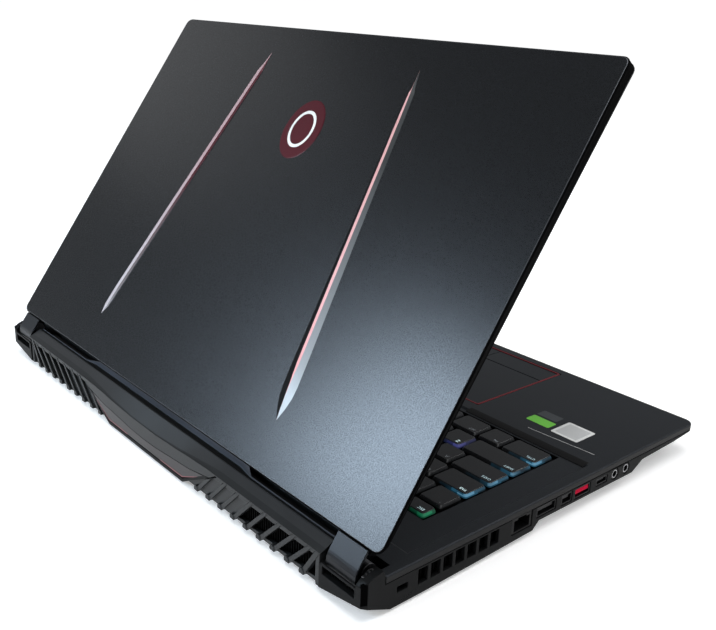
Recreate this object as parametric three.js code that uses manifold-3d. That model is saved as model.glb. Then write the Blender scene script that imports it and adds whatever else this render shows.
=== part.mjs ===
// A 17.3-inch gaming laptop, open on a table: base, lid on two friction hinges, keys, touchpad, sockets,
// fans and the main inner modules. Millimetres, +X to the user's right, +Y to the rear, +Z up.
// The origin is on the table at the centre of the base's footprint.
import * as THREE from 'three';
import { mergeVertices } from 'three/addons/utils/BufferGeometryUtils.js';
import Module from 'manifold-3d';

const wasm = await Module();
wasm.setup();

// ---- driving dimensions ------------------------------------------------------------------------
const WIDTH = 397;
const DEPTH = 268.5;
const CLOSED_HEIGHT = 27.5;
const TOP = 30;                // above everything on the base, for cuts that run right through
const DECK_TOP = 20;
const SEAM = 16;               // top edge of the bottom cover
const GAP = 0.3;               // clearance between neighbouring pieces
const UNDERSIDE_FRONT = 2.8;   // the bottom cover's underside above the feet's soles
const UNDERSIDE_REAR = 1.3;
const WALL = 2.2;

const HINGE_Y = 123.5;         // hinge axis, parallel to X
const HINGE_Z = 18.3;
const LID_OPEN_DEG = 55.7;     // opening angle in the stored pose
const LID_BOTTOM = 20.6;       // screen side of the closed lid
const LID_REAR = 114;          // rear edge of the closed lid
const LID_FRONT = -136.25;     // the lid reaches 2 mm past the base's front edge
const LID_RIM = 22.3;          // rim edge of the lid's back cover
const LID_SKIN = 1.6;          // thickness of the lid's back plate
const SCREEN_WIDTH = 382.4;
const SCREEN_HEIGHT = 215.1;
const TOP_BEZEL = 9.5;

const NOTCH_INNER = 169.5;     // hinge notches in the base, from the middle outwards
const NOTCH_OUTER = 192.5;
const NOTCH_FLOOR = 8.6;
const COVER_RADIUS = CLOSED_HEIGHT - HINGE_Z;
const COVER_THICKNESS = 1.3;

const KEY_PITCH_X = 18.2;
const KEY_PITCH_Y = 18.3;
const KEY_GAP = 2.2;
const KEY_TOP = 20.2;
const KEY_WEB = [17.5, 18.2];  // plate under each bank of keys that joins its caps
const KEYS_LEFT = -173;        // left edge of the first key column
const BOTTOM_ROW_Y = -19;      // centre of the front row
const RECESS_FLOOR = 19;       // shallow recess round the keyboard

const PAD_LEFT = -99.5;        // outer edges of the touchpad trim
const PAD_RIGHT = 9.5;
const PAD_FRONT = -127;
const PAD_REAR = -42.6;
const PAD_SPLIT = -106.6;      // line between the pad and its two buttons

const HALF_W = WIDTH / 2;
const HALF_D = DEPTH / 2;
const RAD = Math.PI / 180;

// ---- looks -------------------------------------------------------------------------------------
function paint(color, roughness, metalness) {
  return () => new THREE.MeshStandardMaterial({ color, roughness, metalness });
}
const LID_METAL = paint(0x23262b, 0.38, 0.7);
const BLACK_PLASTIC = paint(0x1c1d1f, 0.62, 0.0);
const DARK_PLASTIC = paint(0x101113, 0.5, 0.0);
const RED_METAL = paint(0x6d1a20, 0.35, 0.6);
const SCREEN_GLASS = paint(0x07080a, 0.15, 0.0);
const KEY_PLASTIC = paint(0x17181b, 0.55, 0.0);
const STEEL = paint(0x8d9094, 0.35, 1.0);
const COPPER = paint(0xa9633a, 0.35, 1.0);
const BOARD = paint(0x14361f, 0.6, 0.0);
const BATTERY_WRAP = paint(0x202024, 0.7, 0.0);
const RUBBER = paint(0x0c0c0c, 0.9, 0.0);
const RED_PLASTIC = paint(0xa3152a, 0.45, 0.0);

// ---- solids ------------------------------------------------------------------------------------
function toSolid(geometry) {
  const bare = geometry.clone();
  bare.deleteAttribute('normal');
  bare.deleteAttribute('uv');
  const merged = mergeVertices(bare, 1e-4);
  return new wasm.Manifold(new wasm.Mesh({
    numProp: 3,
    vertProperties: new Float32Array(merged.attributes.position.array),
    triVerts: new Uint32Array(merged.index.array),
  }));
}

function toGeometry(solid) {
  const mesh = solid.getMesh();
  const geometry = new THREE.BufferGeometry();
  geometry.setAttribute('position', new THREE.BufferAttribute(new Float32Array(mesh.vertProperties), 3));
  geometry.setIndex(new THREE.BufferAttribute(new Uint32Array(mesh.triVerts), 1));
  geometry.computeVertexNormals();
  return geometry;
}

const join = (first, ...others) => others.reduce((sum, next) => sum.add(next), first);
const cut = (first, ...others) => others.reduce((rest, next) => rest.subtract(next), first);

function box([x0, x1], [y0, y1], [z0, z1]) {
  const geometry = new THREE.BoxGeometry(x1 - x0, y1 - y0, z1 - z0);
  geometry.translate((x0 + x1) / 2, (y0 + y1) / 2, (z0 + z1) / 2);
  return toSolid(geometry);
}

function extrude(points, depth) {
  const shape = new THREE.Shape(points.map(([a, b]) => new THREE.Vector2(a, b)));
  return new THREE.ExtrudeGeometry(shape, { depth, bevelEnabled: false });
}

// Outline given as (y, z) points, extruded along X.
function prismX(points, x0, x1) {
  const geometry = extrude(points, x1 - x0);
  geometry.applyMatrix4(new THREE.Matrix4().set(0, 0, 1, x0, 1, 0, 0, 0, 0, 1, 0, 0, 0, 0, 0, 1));
  return toSolid(geometry);
}

// Outline given as (x, z) points, extruded along Y.
function prismY(points, y0, y1) {
  const geometry = extrude(points, y1 - y0);
  geometry.applyMatrix4(new THREE.Matrix4().set(1, 0, 0, 0, 0, 0, -1, y1, 0, 1, 0, 0, 0, 0, 0, 1));
  return toSolid(geometry);
}

// Outline given as (x, y) points, extruded along Z.
function prismZ(points, z0, z1) {
  const geometry = extrude(points, z1 - z0);
  geometry.translate(0, 0, z0);
  return toSolid(geometry);
}

function cylinderX([y, z], radius, x0, x1, sides = 24) {
  return prismX(arc([y, z], radius, 0, 360 - 360 / sides, sides - 1), x0, x1);
}

function cylinderY([x, z], radius, y0, y1, sides) {
  return prismY(arc([x, z], radius, 0, 360 - 360 / sides, sides - 1), y0, y1);
}

function cylinderZ([x, y], radius, z0, z1, sides = 24) {
  return prismZ(arc([x, y], radius, 0, 360 - 360 / sides, sides - 1), z0, z1);
}

// Points along an arc, from one angle to another in degrees.
function arc([cx, cy], radius, from, to, steps) {
  return Array.from({ length: steps + 1 }, (_, i) => {
    const angle = (from + (to - from) * i / steps) * RAD;
    return [cx + radius * Math.cos(angle), cy + radius * Math.sin(angle)];
  });
}

function roundedRect([x0, x1], [y0, y1], radius, steps = 4) {
  return [
    ...arc([x1 - radius, y0 + radius], radius, -90, 0, steps),
    ...arc([x1 - radius, y1 - radius], radius, 0, 90, steps),
    ...arc([x0 + radius, y1 - radius], radius, 90, 180, steps),
    ...arc([x0 + radius, y0 + radius], radius, 180, 270, steps),
  ];
}

// A closed body through a row of sections, each a ring of 3-D points with the same count.
function loft(sections) {
  const count = sections[0].length;
  const index = [];
  for (let s = 0; s < sections.length - 1; s += 1) {
    for (let i = 0; i < count; i += 1) {
      const a = s * count + i;
      const b = s * count + (i + 1) % count;
      index.push(a, b, b + count, a, b + count, a + count);
    }
  }
  const last = (sections.length - 1) * count;
  for (let i = 1; i < count - 1; i += 1) {
    index.push(0, i + 1, i, last, last + i, last + i + 1);
  }
  const geometry = new THREE.BufferGeometry();
  geometry.setAttribute('position', new THREE.Float32BufferAttribute(sections.flat(2), 3));
  geometry.setIndex(index);
  return toSolid(geometry);
}

// Outlines of (x, y) points stacked from low to high.
const stack = (layers) => loft(layers.map(({ outline, z }) => outline.map(([x, y]) => [x, y, z])));

const mirrorX = (solid) => {
  const geometry = toGeometry(solid);
  geometry.scale(-1, 1, 1);
  const order = geometry.index.array;
  for (let i = 0; i < order.length; i += 3) {
    [order[i], order[i + 1]] = [order[i + 1], order[i]];
  }
  return toSolid(geometry);
};

// ---- the object and its two groups -------------------------------------------------------------
const laptop = new THREE.Group();
const lid = new THREE.Group();
lid.position.set(0, HINGE_Y, HINGE_Z);
lid.rotation.x = -LID_OPEN_DEG * RAD;
laptop.add(lid);

function add(name, solid, material, group = laptop) {
  const geometry = toGeometry(solid);
  if (group === lid) geometry.translate(0, -HINGE_Y, -HINGE_Z);
  const mesh = new THREE.Mesh(geometry, material());
  mesh.name = name;
  group.add(mesh);
}

// Left is the user's left, at negative X. Every left/right pair is built on the right and mirrored.
function addPair(name, rightSolid, material, group = laptop) {
  add(`${name}_right`, rightSolid, material, group);
  add(`${name}_left`, mirrorX(rightSolid), material, group);
}

// ---- base outline and sections -----------------------------------------------------------------
// The front corners are round, the rear ones are cut off.
const CORNER = { width: 1.6, length: 3, radius: 6 };

function baseOutline(inset) {
  const w = HALF_W - inset;
  const front = -HALF_D + inset;
  const rear = HALF_D - inset;
  const frontRadius = CORNER.radius - inset;
  return [
    ...arc([w - frontRadius, front + frontRadius], frontRadius, -90, 0, 5),
    [w, rear - CORNER.length], [w - CORNER.width, rear],
    [-w + CORNER.width, rear], [-w, rear - CORNER.length],
    ...arc([-w + frontRadius, front + frontRadius], frontRadius, 180, 270, 5),
  ];
}

// The tray's section changes along Y: side is the height of its lower side edge, bottom its
// underside, inset how far the underside lies inside the side edge.
const TRAY_STATIONS = [
  { y: -HALF_D - 1, side: 15.6, bottom: 13.4, inset: 16 },
  { y: -112, side: 13.6, bottom: UNDERSIDE_FRONT, inset: 16 },
  { y: -78, side: 12.4, bottom: UNDERSIDE_FRONT, inset: 16 },
  { y: -68, side: 7, bottom: UNDERSIDE_FRONT, inset: 12 },
  { y: 15.5, side: 7.6, bottom: UNDERSIDE_FRONT, inset: 12 },
  { y: 20.5, side: 3.2, bottom: 2.2, inset: 6 },
  { y: 60, side: 2.2, bottom: 1.8, inset: 6 },
  { y: 98, side: 1.5, bottom: UNDERSIDE_REAR, inset: 6 },
  { y: HALF_D + 1, side: 1.5, bottom: UNDERSIDE_REAR, inset: 6 },
];

function traySection({ y, side, bottom, inset }, wall, top) {
  const w = HALF_W - wall;
  const low = Math.min(bottom + wall * 0.8, top - 1);
  const edge = Math.max(Math.min(side + wall * 0.8, top - 0.5), low);
  const floor = HALF_W - inset - wall * 0.6;
  return [[w, y, top], [w, y, edge], [floor, y, low], [-floor, y, low], [-w, y, edge], [-w, y, top]];
}

function trayBody(wall, top) {
  return loft(TRAY_STATIONS.map((station) => traySection(station, wall, top)));
}

// ---- bottom cover ------------------------------------------------------------------------------
const VENT_SLOTS = { count: 7, first: 98.6, pitch: 8.05, width: 5.9, z: [7.2, 14.9] };

function sideVentSlots() {
  return Array.from({ length: VENT_SLOTS.count }, (_, i) => {
    const y = VENT_SLOTS.first - i * VENT_SLOTS.pitch;
    return box([HALF_W - 12, HALF_W + 1], [y - VENT_SLOTS.width / 2, y + VENT_SLOTS.width / 2], VENT_SLOTS.z);
  });
}

const FAN_CENTRE = [121, 69];
const FAN_INLET = { radius: 34, pitch: 7, width: 3.2, perSide: 4 };
const FLOOR_CUT = [0, 5.3];    // reaches through the floor of the bottom cover

// Air inlets in the floor under one fan: a round field of long slots.
function floorSlots() {
  const [x, y] = FAN_CENTRE;
  const { radius, pitch, width, perSide } = FAN_INLET;
  const slots = [];
  for (let i = -perSide; i <= perSide; i += 1) {
    const half = Math.sqrt(radius ** 2 - (i * pitch) ** 2);
    const middle = y + i * pitch;
    slots.push(box([x - half, x + half], [middle - width / 2, middle + width / 2], FLOOR_CUT));
  }
  return slots;
}

const SPEAKER = { x: [134, 178], y: [-108, -64], z: [5.4, 13] };
const SPEAKER_SLOTS = { count: 5, first: 140, pitch: 7, width: 2.4, y: [-102, -72] };

function speakerSlots() {
  const { count, first, pitch, width, y } = SPEAKER_SLOTS;
  return Array.from({ length: count }, (_, i) => {
    const x = first + i * pitch;
    return box([x - width / 2, x + width / 2], y, FLOOR_CUT);
  });
}

// The grille's inner end slopes outwards as it rises.
const GRILLE = { inner: 47.4, slope: 1.9, outer: 167, z: [2.4, DECK_TOP], y: [129.6, 134] };
const grilleInnerX = (z) => GRILLE.inner + GRILLE.slope * (z - GRILLE.z[0]);

function grilleOpening() {
  const edge = GAP * 2;
  return prismY([
    [grilleInnerX(0) - edge, 0], [GRILLE.outer + GAP, 0], [GRILLE.outer + GAP, SEAM + 1],
    [grilleInnerX(SEAM + 1) - edge, SEAM + 1],
  ], GRILLE.y[0] - GAP, HALF_D + 2);
}

// The hollow that takes the hinge, with a ledge at its rear.
const NOTCH_LEDGE = { y: 131.2, z: 11.2 };

function hingeNotch() {
  const front = LID_REAR + 0.6;
  const rear = HALF_D + 1;
  return prismX([
    [front, NOTCH_FLOOR], [NOTCH_LEDGE.y, NOTCH_FLOOR], [NOTCH_LEDGE.y, NOTCH_LEDGE.z],
    [rear, NOTCH_LEDGE.z], [rear, SEAM + 1], [front, SEAM + 1],
  ], NOTCH_INNER, NOTCH_OUTER);
}

// The underside rises towards the rear corner as a sloping facet.
function cornerFacet() {
  const [x0, x1] = [160, 200];
  const rear = HALF_D + 2;
  return loft([
    [[x0, 134, -1], [x0, rear, -1], [x0, rear, 2.5], [x0, 134, 1.5]],
    [[x1, 117.4, -1], [x1, rear, -1], [x1, rear, 9.8], [x1, 117.4, 1.5]],
  ]);
}

// Right-hand half of the hollows that are the same on both sides.
const rightHandCuts = () => [
  ...sideVentSlots(), ...floorSlots(), ...speakerSlots(), grilleOpening(), hingeNotch(), cornerFacet(),
];

// The raised rear corner beside the lid's hinge, and the bar that closes the notch at the rear.
const EAR = {
  x: [NOTCH_OUTER + 0.7, HALF_W],
  profile: [[121.6, 15], [121.6, 20.4], [122.9, 23.5], [128.4, 22.5], [131.8, 21.0], [HALF_D, 18.8],
    [HALF_D, 15]],
};
const NOTCH_BAR = { y: [133.1, HALF_D], z: [15.4, 16.8], post: [NOTCH_INNER - 0.8, NOTCH_INNER + 0.4] };

function rearCorner() {
  const { y, z, post } = NOTCH_BAR;
  return join(
    prismX(EAR.profile, ...EAR.x),
    box([post[0], EAR.x[1] - 1], y, z),
    box(post, y, [NOTCH_LEDGE.z - 1, z[1]]),
  ).intersect(prismZ(baseOutline(0), 0, TOP));
}

function bottomCover() {
  const outer = trayBody(0, SEAM).intersect(prismZ(baseOutline(0), 0, SEAM + 1));
  const room = trayBody(WALL, SEAM + 3).intersect(join(
    box([-HALF_W, HALF_W], [-HALF_D + 4, LID_REAR - 2.5], [0, TOP]),
    box([-NOTCH_INNER + 3, NOTCH_INNER - 3], [100, HALF_D - 2.4], [0, TOP]),
  ));
  const half = rightHandCuts();
  const centreTrimSeat = prismY(centreTrimOutline(3.5, SEAM + 1, GAP * 2), HALF_D - 1.6, HALF_D + 2);
  const tray = cut(outer, room, ...half, ...half.map(mirrorX), centreTrimSeat, lockSlot(), ...socketCuts());
  const corner = rearCorner();
  return join(tray, corner, mirrorX(corner));
}

const lockSlot = () => box([-HALF_W - 1, -HALF_W + 4], [107.9, 114.4], [8.6, 11.6]);

// ---- sockets -----------------------------------------------------------------------------------
// side: -1 left, +1 right. y, z: centre of the mouth. width, height: outer size of the shell.
const USB_A = { kind: 'tongue', z: 12, width: 13.4, height: 5.8, depth: 14 };
const JACK = { kind: 'round', side: -1, z: 12.2, width: 6.4, bore: 3.6, depth: 13, material: STEEL };
const SOCKETS = [
  {
    name: 'ethernet_socket', kind: 'rj45', side: -1, y: 29.5, z: 11.4, width: 15, height: 8.8, depth: 16,
    material: DARK_PLASTIC,
  },
  {
    name: 'hdmi_socket', kind: 'tongue', side: -1, y: 10.2, z: 12.6, width: 15.2, height: 5.6, depth: 11,
    material: STEEL,
  },
  {
    name: 'mini_display_socket', kind: 'tongue', side: -1, y: -6.8, z: 12.2, width: 8.6, height: 5.6,
    depth: 10, material: STEEL,
  },
  { name: 'usb_a_socket_left', side: -1, y: -20.4, ...USB_A, material: RED_PLASTIC },
  {
    name: 'usb_c_socket', kind: 'tongue', side: -1, y: -38, z: 12.2, width: 9.6, height: 3.9, depth: 9,
    material: STEEL,
  },
  { name: 'microphone_jack', y: -50.2, ...JACK },
  { name: 'headphone_jack', y: -61, ...JACK },
  {
    name: 'dc_inlet_socket', kind: 'round', side: 1, y: 29.5, z: 11.2, width: 8.6, bore: 6.2, depth: 13,
    material: DARK_PLASTIC,
  },
  { name: 'usb_a_socket_right_1', side: 1, y: 2, ...USB_A, material: STEEL },
  { name: 'usb_a_socket_right_2', side: 1, y: -19, ...USB_A, material: STEEL },
  {
    name: 'card_reader_socket', kind: 'slot', side: 1, y: -49.5, z: 11.6, width: 27, height: 4.4, depth: 22,
    material: DARK_PLASTIC,
  },
];
const SOCKET_SHELL = 0.6;
const SOCKET_SETBACK = 0.4;    // the mouths lie just inside the side wall

function socketBlock({ kind, y, z, width, height, depth }, grow) {
  const x = [HALF_W - SOCKET_SETBACK - depth - grow, HALF_W - SOCKET_SETBACK + (grow ? 2 : 0)];
  if (kind === 'round') return cylinderX([y, z], width / 2 + grow, x[0], x[1], 20);
  const [halfWidth, halfHeight] = [width / 2 + grow, height / 2 + grow];
  return box(x, [y - halfWidth, y + halfWidth], [z - halfHeight, z + halfHeight]);
}

function socketCuts() {
  return SOCKETS.map((socket) => {
    const hollow = socketBlock(socket, GAP);
    return socket.side > 0 ? hollow : mirrorX(hollow);
  });
}

// The mouth of the network socket: a wide space for the plug and a narrow one for its latch.
const RJ45 = { halfWidth: 5.9, z: [-3.6, 2.6], latchHalfWidth: 3.2, latchTop: 3.6 };
const BACK_WALL = 1.2;
const PIN = { radius: 0.9, setback: 2 };
const CARD_SLOT_HALF = 1.1;

function roundSocket({ y, z, bore }, block, back, mouth) {
  const hollow = cut(block, cylinderX([y, z], bore / 2, back, mouth + 1, 20));
  const pin = cylinderX([y, z], PIN.radius, back - 0.5, mouth - PIN.setback, 10);
  return bore > 5 ? join(hollow, pin) : hollow;
}

// A metal shell with a contact tongue in it, thicker and higher in the taller sockets.
function tongueSocket({ z, height }, block, back, mouth, inner) {
  const halfHeight = height / 2 - SOCKET_SHELL;
  const hollow = cut(block, box([back, mouth + 1], inner, [z - halfHeight, z + halfHeight]));
  const { thin, lift } = height > 5 ? { thin: 0.9, lift: 0.5 } : { thin: 0.4, lift: 0 };
  const tongue = box([back - 0.5, mouth - 1], [inner[0] + 1, inner[1] - 1], [z + lift - thin, z + lift + thin]);
  return join(hollow, tongue);
}

function socketSolid(socket) {
  const { kind, y, z, width, depth } = socket;
  const mouth = HALF_W - SOCKET_SETBACK;
  const back = mouth - depth + BACK_WALL;
  const block = socketBlock(socket, 0);
  const inner = [y - width / 2 + SOCKET_SHELL, y + width / 2 - SOCKET_SHELL];
  if (kind === 'round') return roundSocket(socket, block, back, mouth);
  if (kind === 'tongue') return tongueSocket(socket, block, back, mouth, inner);
  if (kind === 'slot') {
    return cut(block, box([back, mouth + 1], inner, [z - CARD_SLOT_HALF, z + CARD_SLOT_HALF]));
  }
  const { halfWidth, latchHalfWidth, latchTop } = RJ45;
  return cut(block,
    box([back, mouth + 1], [y - halfWidth, y + halfWidth], [z + RJ45.z[0], z + RJ45.z[1]]),
    box([back, mouth + 1], [y - latchHalfWidth, y + latchHalfWidth], [z + RJ45.z[1] - 0.1, z + latchTop]));
}

function addSockets() {
  for (const socket of SOCKETS) {
    const solid = socketSolid(socket);
    add(socket.name, socket.side > 0 ? solid : mirrorX(solid), socket.material);
  }
}

// ---- keyboard ----------------------------------------------------------------------------------
// start and widths are in units of the key pitch, from the left.
const rowY = (row) => BOTTOM_ROW_Y + row * KEY_PITCH_Y;
const FUNCTION_ROW_Y = rowY(5) - 3.2;
const KEY_DEPTH = KEY_PITCH_Y - KEY_GAP;
const FUNCTION_DEPTH = 9.8;
const NUMPAD_START = 15;       // in key pitches from the left edge

const ROWS = [
  { name: 'key_row_function', y: FUNCTION_ROW_Y, depth: FUNCTION_DEPTH, start: 0, widths: Array(19).fill(1) },
  { name: 'key_row_numbers', y: rowY(4), depth: KEY_DEPTH, start: 0, widths: [...Array(13).fill(1), 2] },
  { name: 'key_row_tab', y: rowY(3), depth: KEY_DEPTH, start: 0, widths: [1.5, ...Array(12).fill(1), 1.5] },
  { name: 'key_row_caps', y: rowY(2), depth: KEY_DEPTH, start: 0, widths: [1.75, ...Array(11).fill(1), 2.25] },
  {
    name: 'key_row_shift', y: rowY(1), depth: KEY_DEPTH, start: 0,
    widths: [2.25, ...Array(10).fill(1), 1.75, 1],
  },
  { name: 'key_row_bottom_left', y: rowY(0), depth: KEY_DEPTH, start: 0, widths: [1.5, 1, 1.25] },
  { name: 'space_bar', y: rowY(0), depth: KEY_DEPTH, start: 3.75, widths: [5.25] },
  { name: 'key_row_bottom_right', y: rowY(0), depth: KEY_DEPTH, start: 9, widths: Array(6).fill(1) },
];

const keyX = (unit) => KEYS_LEFT + unit * KEY_PITCH_X;

function keyCap(start, width, y, depth) {
  const x = [keyX(start) + KEY_GAP / 2, keyX(start + width) - KEY_GAP / 2];
  return box(x, [y - depth / 2, y + depth / 2], [KEY_WEB[1] - 0.1, KEY_TOP]);
}

function keyRun({ start, widths }, y, depth) {
  const caps = [];
  let unit = start;
  for (const width of widths) {
    caps.push(keyCap(unit, width, y, depth));
    unit += width;
  }
  return caps;
}

function rowWeb(from, to, y, depth) {
  const half = depth / 2 + KEY_GAP / 2 - GAP;
  return box([keyX(from) + GAP, keyX(to) - GAP], [y - half, y + half], KEY_WEB);
}

const runEnd = ({ start, widths }) => start + widths.reduce((sum, width) => sum + width, 0);

function addKeys() {
  for (const row of ROWS) {
    const web = rowWeb(row.start, runEnd(row), row.y, row.depth);
    add(row.name, join(web, ...keyRun(row, row.y, row.depth)), KEY_PLASTIC);
  }
  add('number_pad', numberPad(), KEY_PLASTIC);
}

function numberPad() {
  const first = NUMPAD_START;
  const web = box([keyX(first) + GAP, keyX(first + 4) - GAP],
    [rowY(0) - KEY_PITCH_Y / 2 + GAP, rowY(4) + KEY_PITCH_Y / 2 - GAP], KEY_WEB);
  const caps = [];
  for (let row = 0; row < 5; row += 1) {
    const columns = row === 0 ? [[0, 2], [2, 1]] : [[0, 1], [1, 1], [2, 1]];
    for (const [column, width] of columns) caps.push(keyCap(first + column, width, rowY(row), KEY_DEPTH));
  }
  caps.push(keyCap(first + 3, 1, rowY(0.5), KEY_DEPTH + KEY_PITCH_Y));
  caps.push(keyCap(first + 3, 1, rowY(2.5), KEY_DEPTH + KEY_PITCH_Y));
  caps.push(keyCap(first + 3, 1, rowY(4), KEY_DEPTH));
  return join(web, ...caps);
}

const KEYBOARD = {
  x: [KEYS_LEFT - 1.5, -KEYS_LEFT + 1.5],
  y: [rowY(0) - KEY_PITCH_Y / 2 - 1, FUNCTION_ROW_Y + FUNCTION_DEPTH / 2 + 2],
};

const PLATE = { rim: 3, wall: 1.8, bottom: 15.3, floor: 16 };
const COVER_THICK = 2;         // the top cover's thickness

function keyboardPlate() {
  const { x, y } = KEYBOARD;
  const { rim, wall, bottom, floor } = PLATE;
  const top = DECK_TOP - COVER_THICK - GAP;
  const around = ([low, high], grow) => [low - grow, high + grow];
  return cut(
    box(around(x, rim), around(y, rim), [bottom, top]),
    box(around(x, rim - wall), around(y, rim - wall), [floor, top + 1]),
  );
}

// ---- top cover, touchpad and trims -------------------------------------------------------------
const TOP_COVER_BOTTOM = SEAM + GAP;
const EDGE_BEVEL = 0.7;
const RECESS = { halfX: 190, y: [KEYBOARD.y[0] - 3, 101], flare: 1.6 };
const POWER_BUTTON = { x: 157, y: 92, width: 16, depth: 6, flange: 1.5 };

// The shallow recess round the keyboard has sloping sides.
function keyboardRecess() {
  const depth = DECK_TOP - RECESS_FLOOR;
  const { halfX, y, flare } = RECESS;
  const ring = (grow, z) => [
    [-halfX - grow, y[0] - grow, z], [halfX + grow, y[0] - grow, z],
    [halfX + grow, y[1] + grow, z], [-halfX - grow, y[1] + grow, z],
  ];
  return loft([ring(0, RECESS_FLOOR), ring(depth * flare, DECK_TOP + 0.01)]);
}

function palmrestCover() {
  const body = stack([
    { outline: baseOutline(0), z: TOP_COVER_BOTTOM },
    { outline: baseOutline(0), z: DECK_TOP - EDGE_BEVEL },
    { outline: baseOutline(EDGE_BEVEL), z: DECK_TOP },
  ]);
  const room = box(
    [-HALF_W + WALL, HALF_W - WALL], [-HALF_D + WALL, LID_REAR - 2], [0, DECK_TOP - COVER_THICK]);
  const behind = box([-NOTCH_OUTER - 0.5, NOTCH_OUTER + 0.5], [LID_REAR + 0.4, HALF_D + 1], [0, TOP]);
  const corners = box([-HALF_W - 1, HALF_W + 1], [EAR.profile[0][0] - 0.4, HALF_D + 1], [0, TOP]);
  const keys = box(KEYBOARD.x, KEYBOARD.y, [0, TOP]);
  const pad = box([PAD_LEFT - GAP, PAD_RIGHT + GAP], [PAD_FRONT - GAP, PAD_REAR + GAP], [0, TOP]);
  return cut(body, room, behind, corners, keyboardRecess(), keys, pad, powerButtonShape(GAP, [0, TOP]));
}

function powerButtonShape(grow, z) {
  const { x, y, width, depth } = POWER_BUTTON;
  const [halfX, halfY] = [width / 2 + grow, depth / 2 + grow];
  return prismZ(roundedRect([x - halfX, x + halfX], [y - halfY, y + halfY], 1.3 + grow, 3), ...z);
}

function powerButton() {
  return join(powerButtonShape(0, [16.9, 19.3]), powerButtonShape(POWER_BUTTON.flange, [16.3, 17]));
}

const TRIM_WIDTH = 1.4;

function touchpadTrim() {
  const ring = (inset, radius) => roundedRect(
    [PAD_LEFT + inset, PAD_RIGHT - inset], [PAD_FRONT + inset, PAD_REAR - inset], radius, 2);
  return cut(prismZ(ring(0, 2), 18.4, DECK_TOP), prismZ(ring(TRIM_WIDTH, 0.9), 0, TOP));
}

const PAD_INSET = 1.7;         // from the trim's outer edge to the pad

function touchpad() {
  const x = [PAD_LEFT + PAD_INSET, PAD_RIGHT - PAD_INSET];
  return join(
    box(x, [PAD_SPLIT + GAP, PAD_REAR - PAD_INSET], [16.8, 19.5]),
    box([x[0] - 6, x[1] + 6], [PAD_FRONT - 3, PAD_REAR + 4], [16.2, 17]),
  );
}

// Two buttons side by side under the pad.
function touchButton(x) {
  return box(x, [PAD_FRONT + PAD_INSET, PAD_SPLIT - GAP], [17.8, 19.6]);
}

// The strip behind the lid is a black trough with a raised tail behind it. The tail's top slopes down
// to the rear over a crease; in the middle the strip fills the trough and reaches down to the trim.
const DECK_REAR = HALF_D - 0.2;
const DECK_END = NOTCH_INNER - 1.2;
const DECK_PROFILE = [
  [LID_REAR + 0.8, TOP_COVER_BOTTOM], [129, TOP_COVER_BOTTOM], [129, DECK_TOP + GAP],
  [DECK_REAR, DECK_TOP + GAP], [DECK_REAR, DECK_TOP + 0.5], [131, 22.3], [126, 24.8], [124.8, 24.4],
  [124.3, 18], [LID_REAR + 0.8, 18],
];
const HUMP = { full: 85, end: 98, y: [117.3, 126.3], z: [17.5, 24.6] };

function rearDeck() {
  const tail = prismX(DECK_PROFILE, -DECK_END, DECK_END);
  const { full, end, y, z } = HUMP;
  const ring = (x, front, top) => [[x, front - 0.7, z[0]], [x, y[1], z[0]], [x, y[1], top], [x, front, top]];
  const [endFront, endTop] = [124.5, z[1] - 0.2];
  const hump = loft([
    ring(-end, endFront, endTop), ring(-full, y[0], z[1]), ring(full, y[0], z[1]), ring(end, endFront, endTop),
  ]);
  const reach = (height) => grilleInnerX(height) - 1;
  const [low, high] = [TOP_COVER_BOTTOM, DECK_TOP + GAP + 0.1];
  const middle = prismY([
    [-reach(low), low], [reach(low), low], [reach(high), high], [-reach(high), high],
  ], 128.5, DECK_REAR);
  return join(tail, hump, middle);
}

// The trim between the two rear grilles is wider at the top, parallel to their inner ends.
function centreTrimOutline(z0, z1, grow) {
  const reach = (z) => grilleInnerX(z) - 5 + grow;
  return [[-reach(z0), z0], [reach(z0), z0], [reach(z1), z1], [-reach(z1), z1]];
}

const TRIM_BOTTOM = 3.8;
const TRIM_DEPTH = 1.2;

function rearCentreTrim() {
  return prismY(centreTrimOutline(TRIM_BOTTOM, SEAM - GAP, 0), HALF_D - TRIM_DEPTH, HALF_D);
}

// ---- rear grilles ------------------------------------------------------------------------------
// Slanted ribs between a top and a bottom bar, each rib with a round knob at its foot. The cells
// nearest the middle are closed.
const RIBS = { count: 9, closed: 3, footFirst: 57, footPitch: 11.9, slant: 18, width: 3.2, knob: 2 };
const RAILS = { bottom: [GRILLE.z[0], 4.6], top: [17.6, GRILLE.z[1]], bottomInset: 2 };
const END_POST = 3;

function grilleRib(i) {
  const [zLow, zHigh] = GRILLE.z;
  const [yBack, yFront] = [GRILLE.y[0] + 1, GRILLE.y[1]];
  const { footFirst, footPitch, slant, width, knob } = RIBS;
  const foot = footFirst + i * footPitch;
  const head = Math.min(foot + slant, GRILLE.outer - width);
  return join(
    prismY([[foot, zLow], [foot + width, zLow], [head + width, zHigh], [head, zHigh]], yBack, yFront - 0.3),
    cylinderY([foot + width / 2, zLow + 1.1], knob, yBack, yFront, 12),
  );
}

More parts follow.
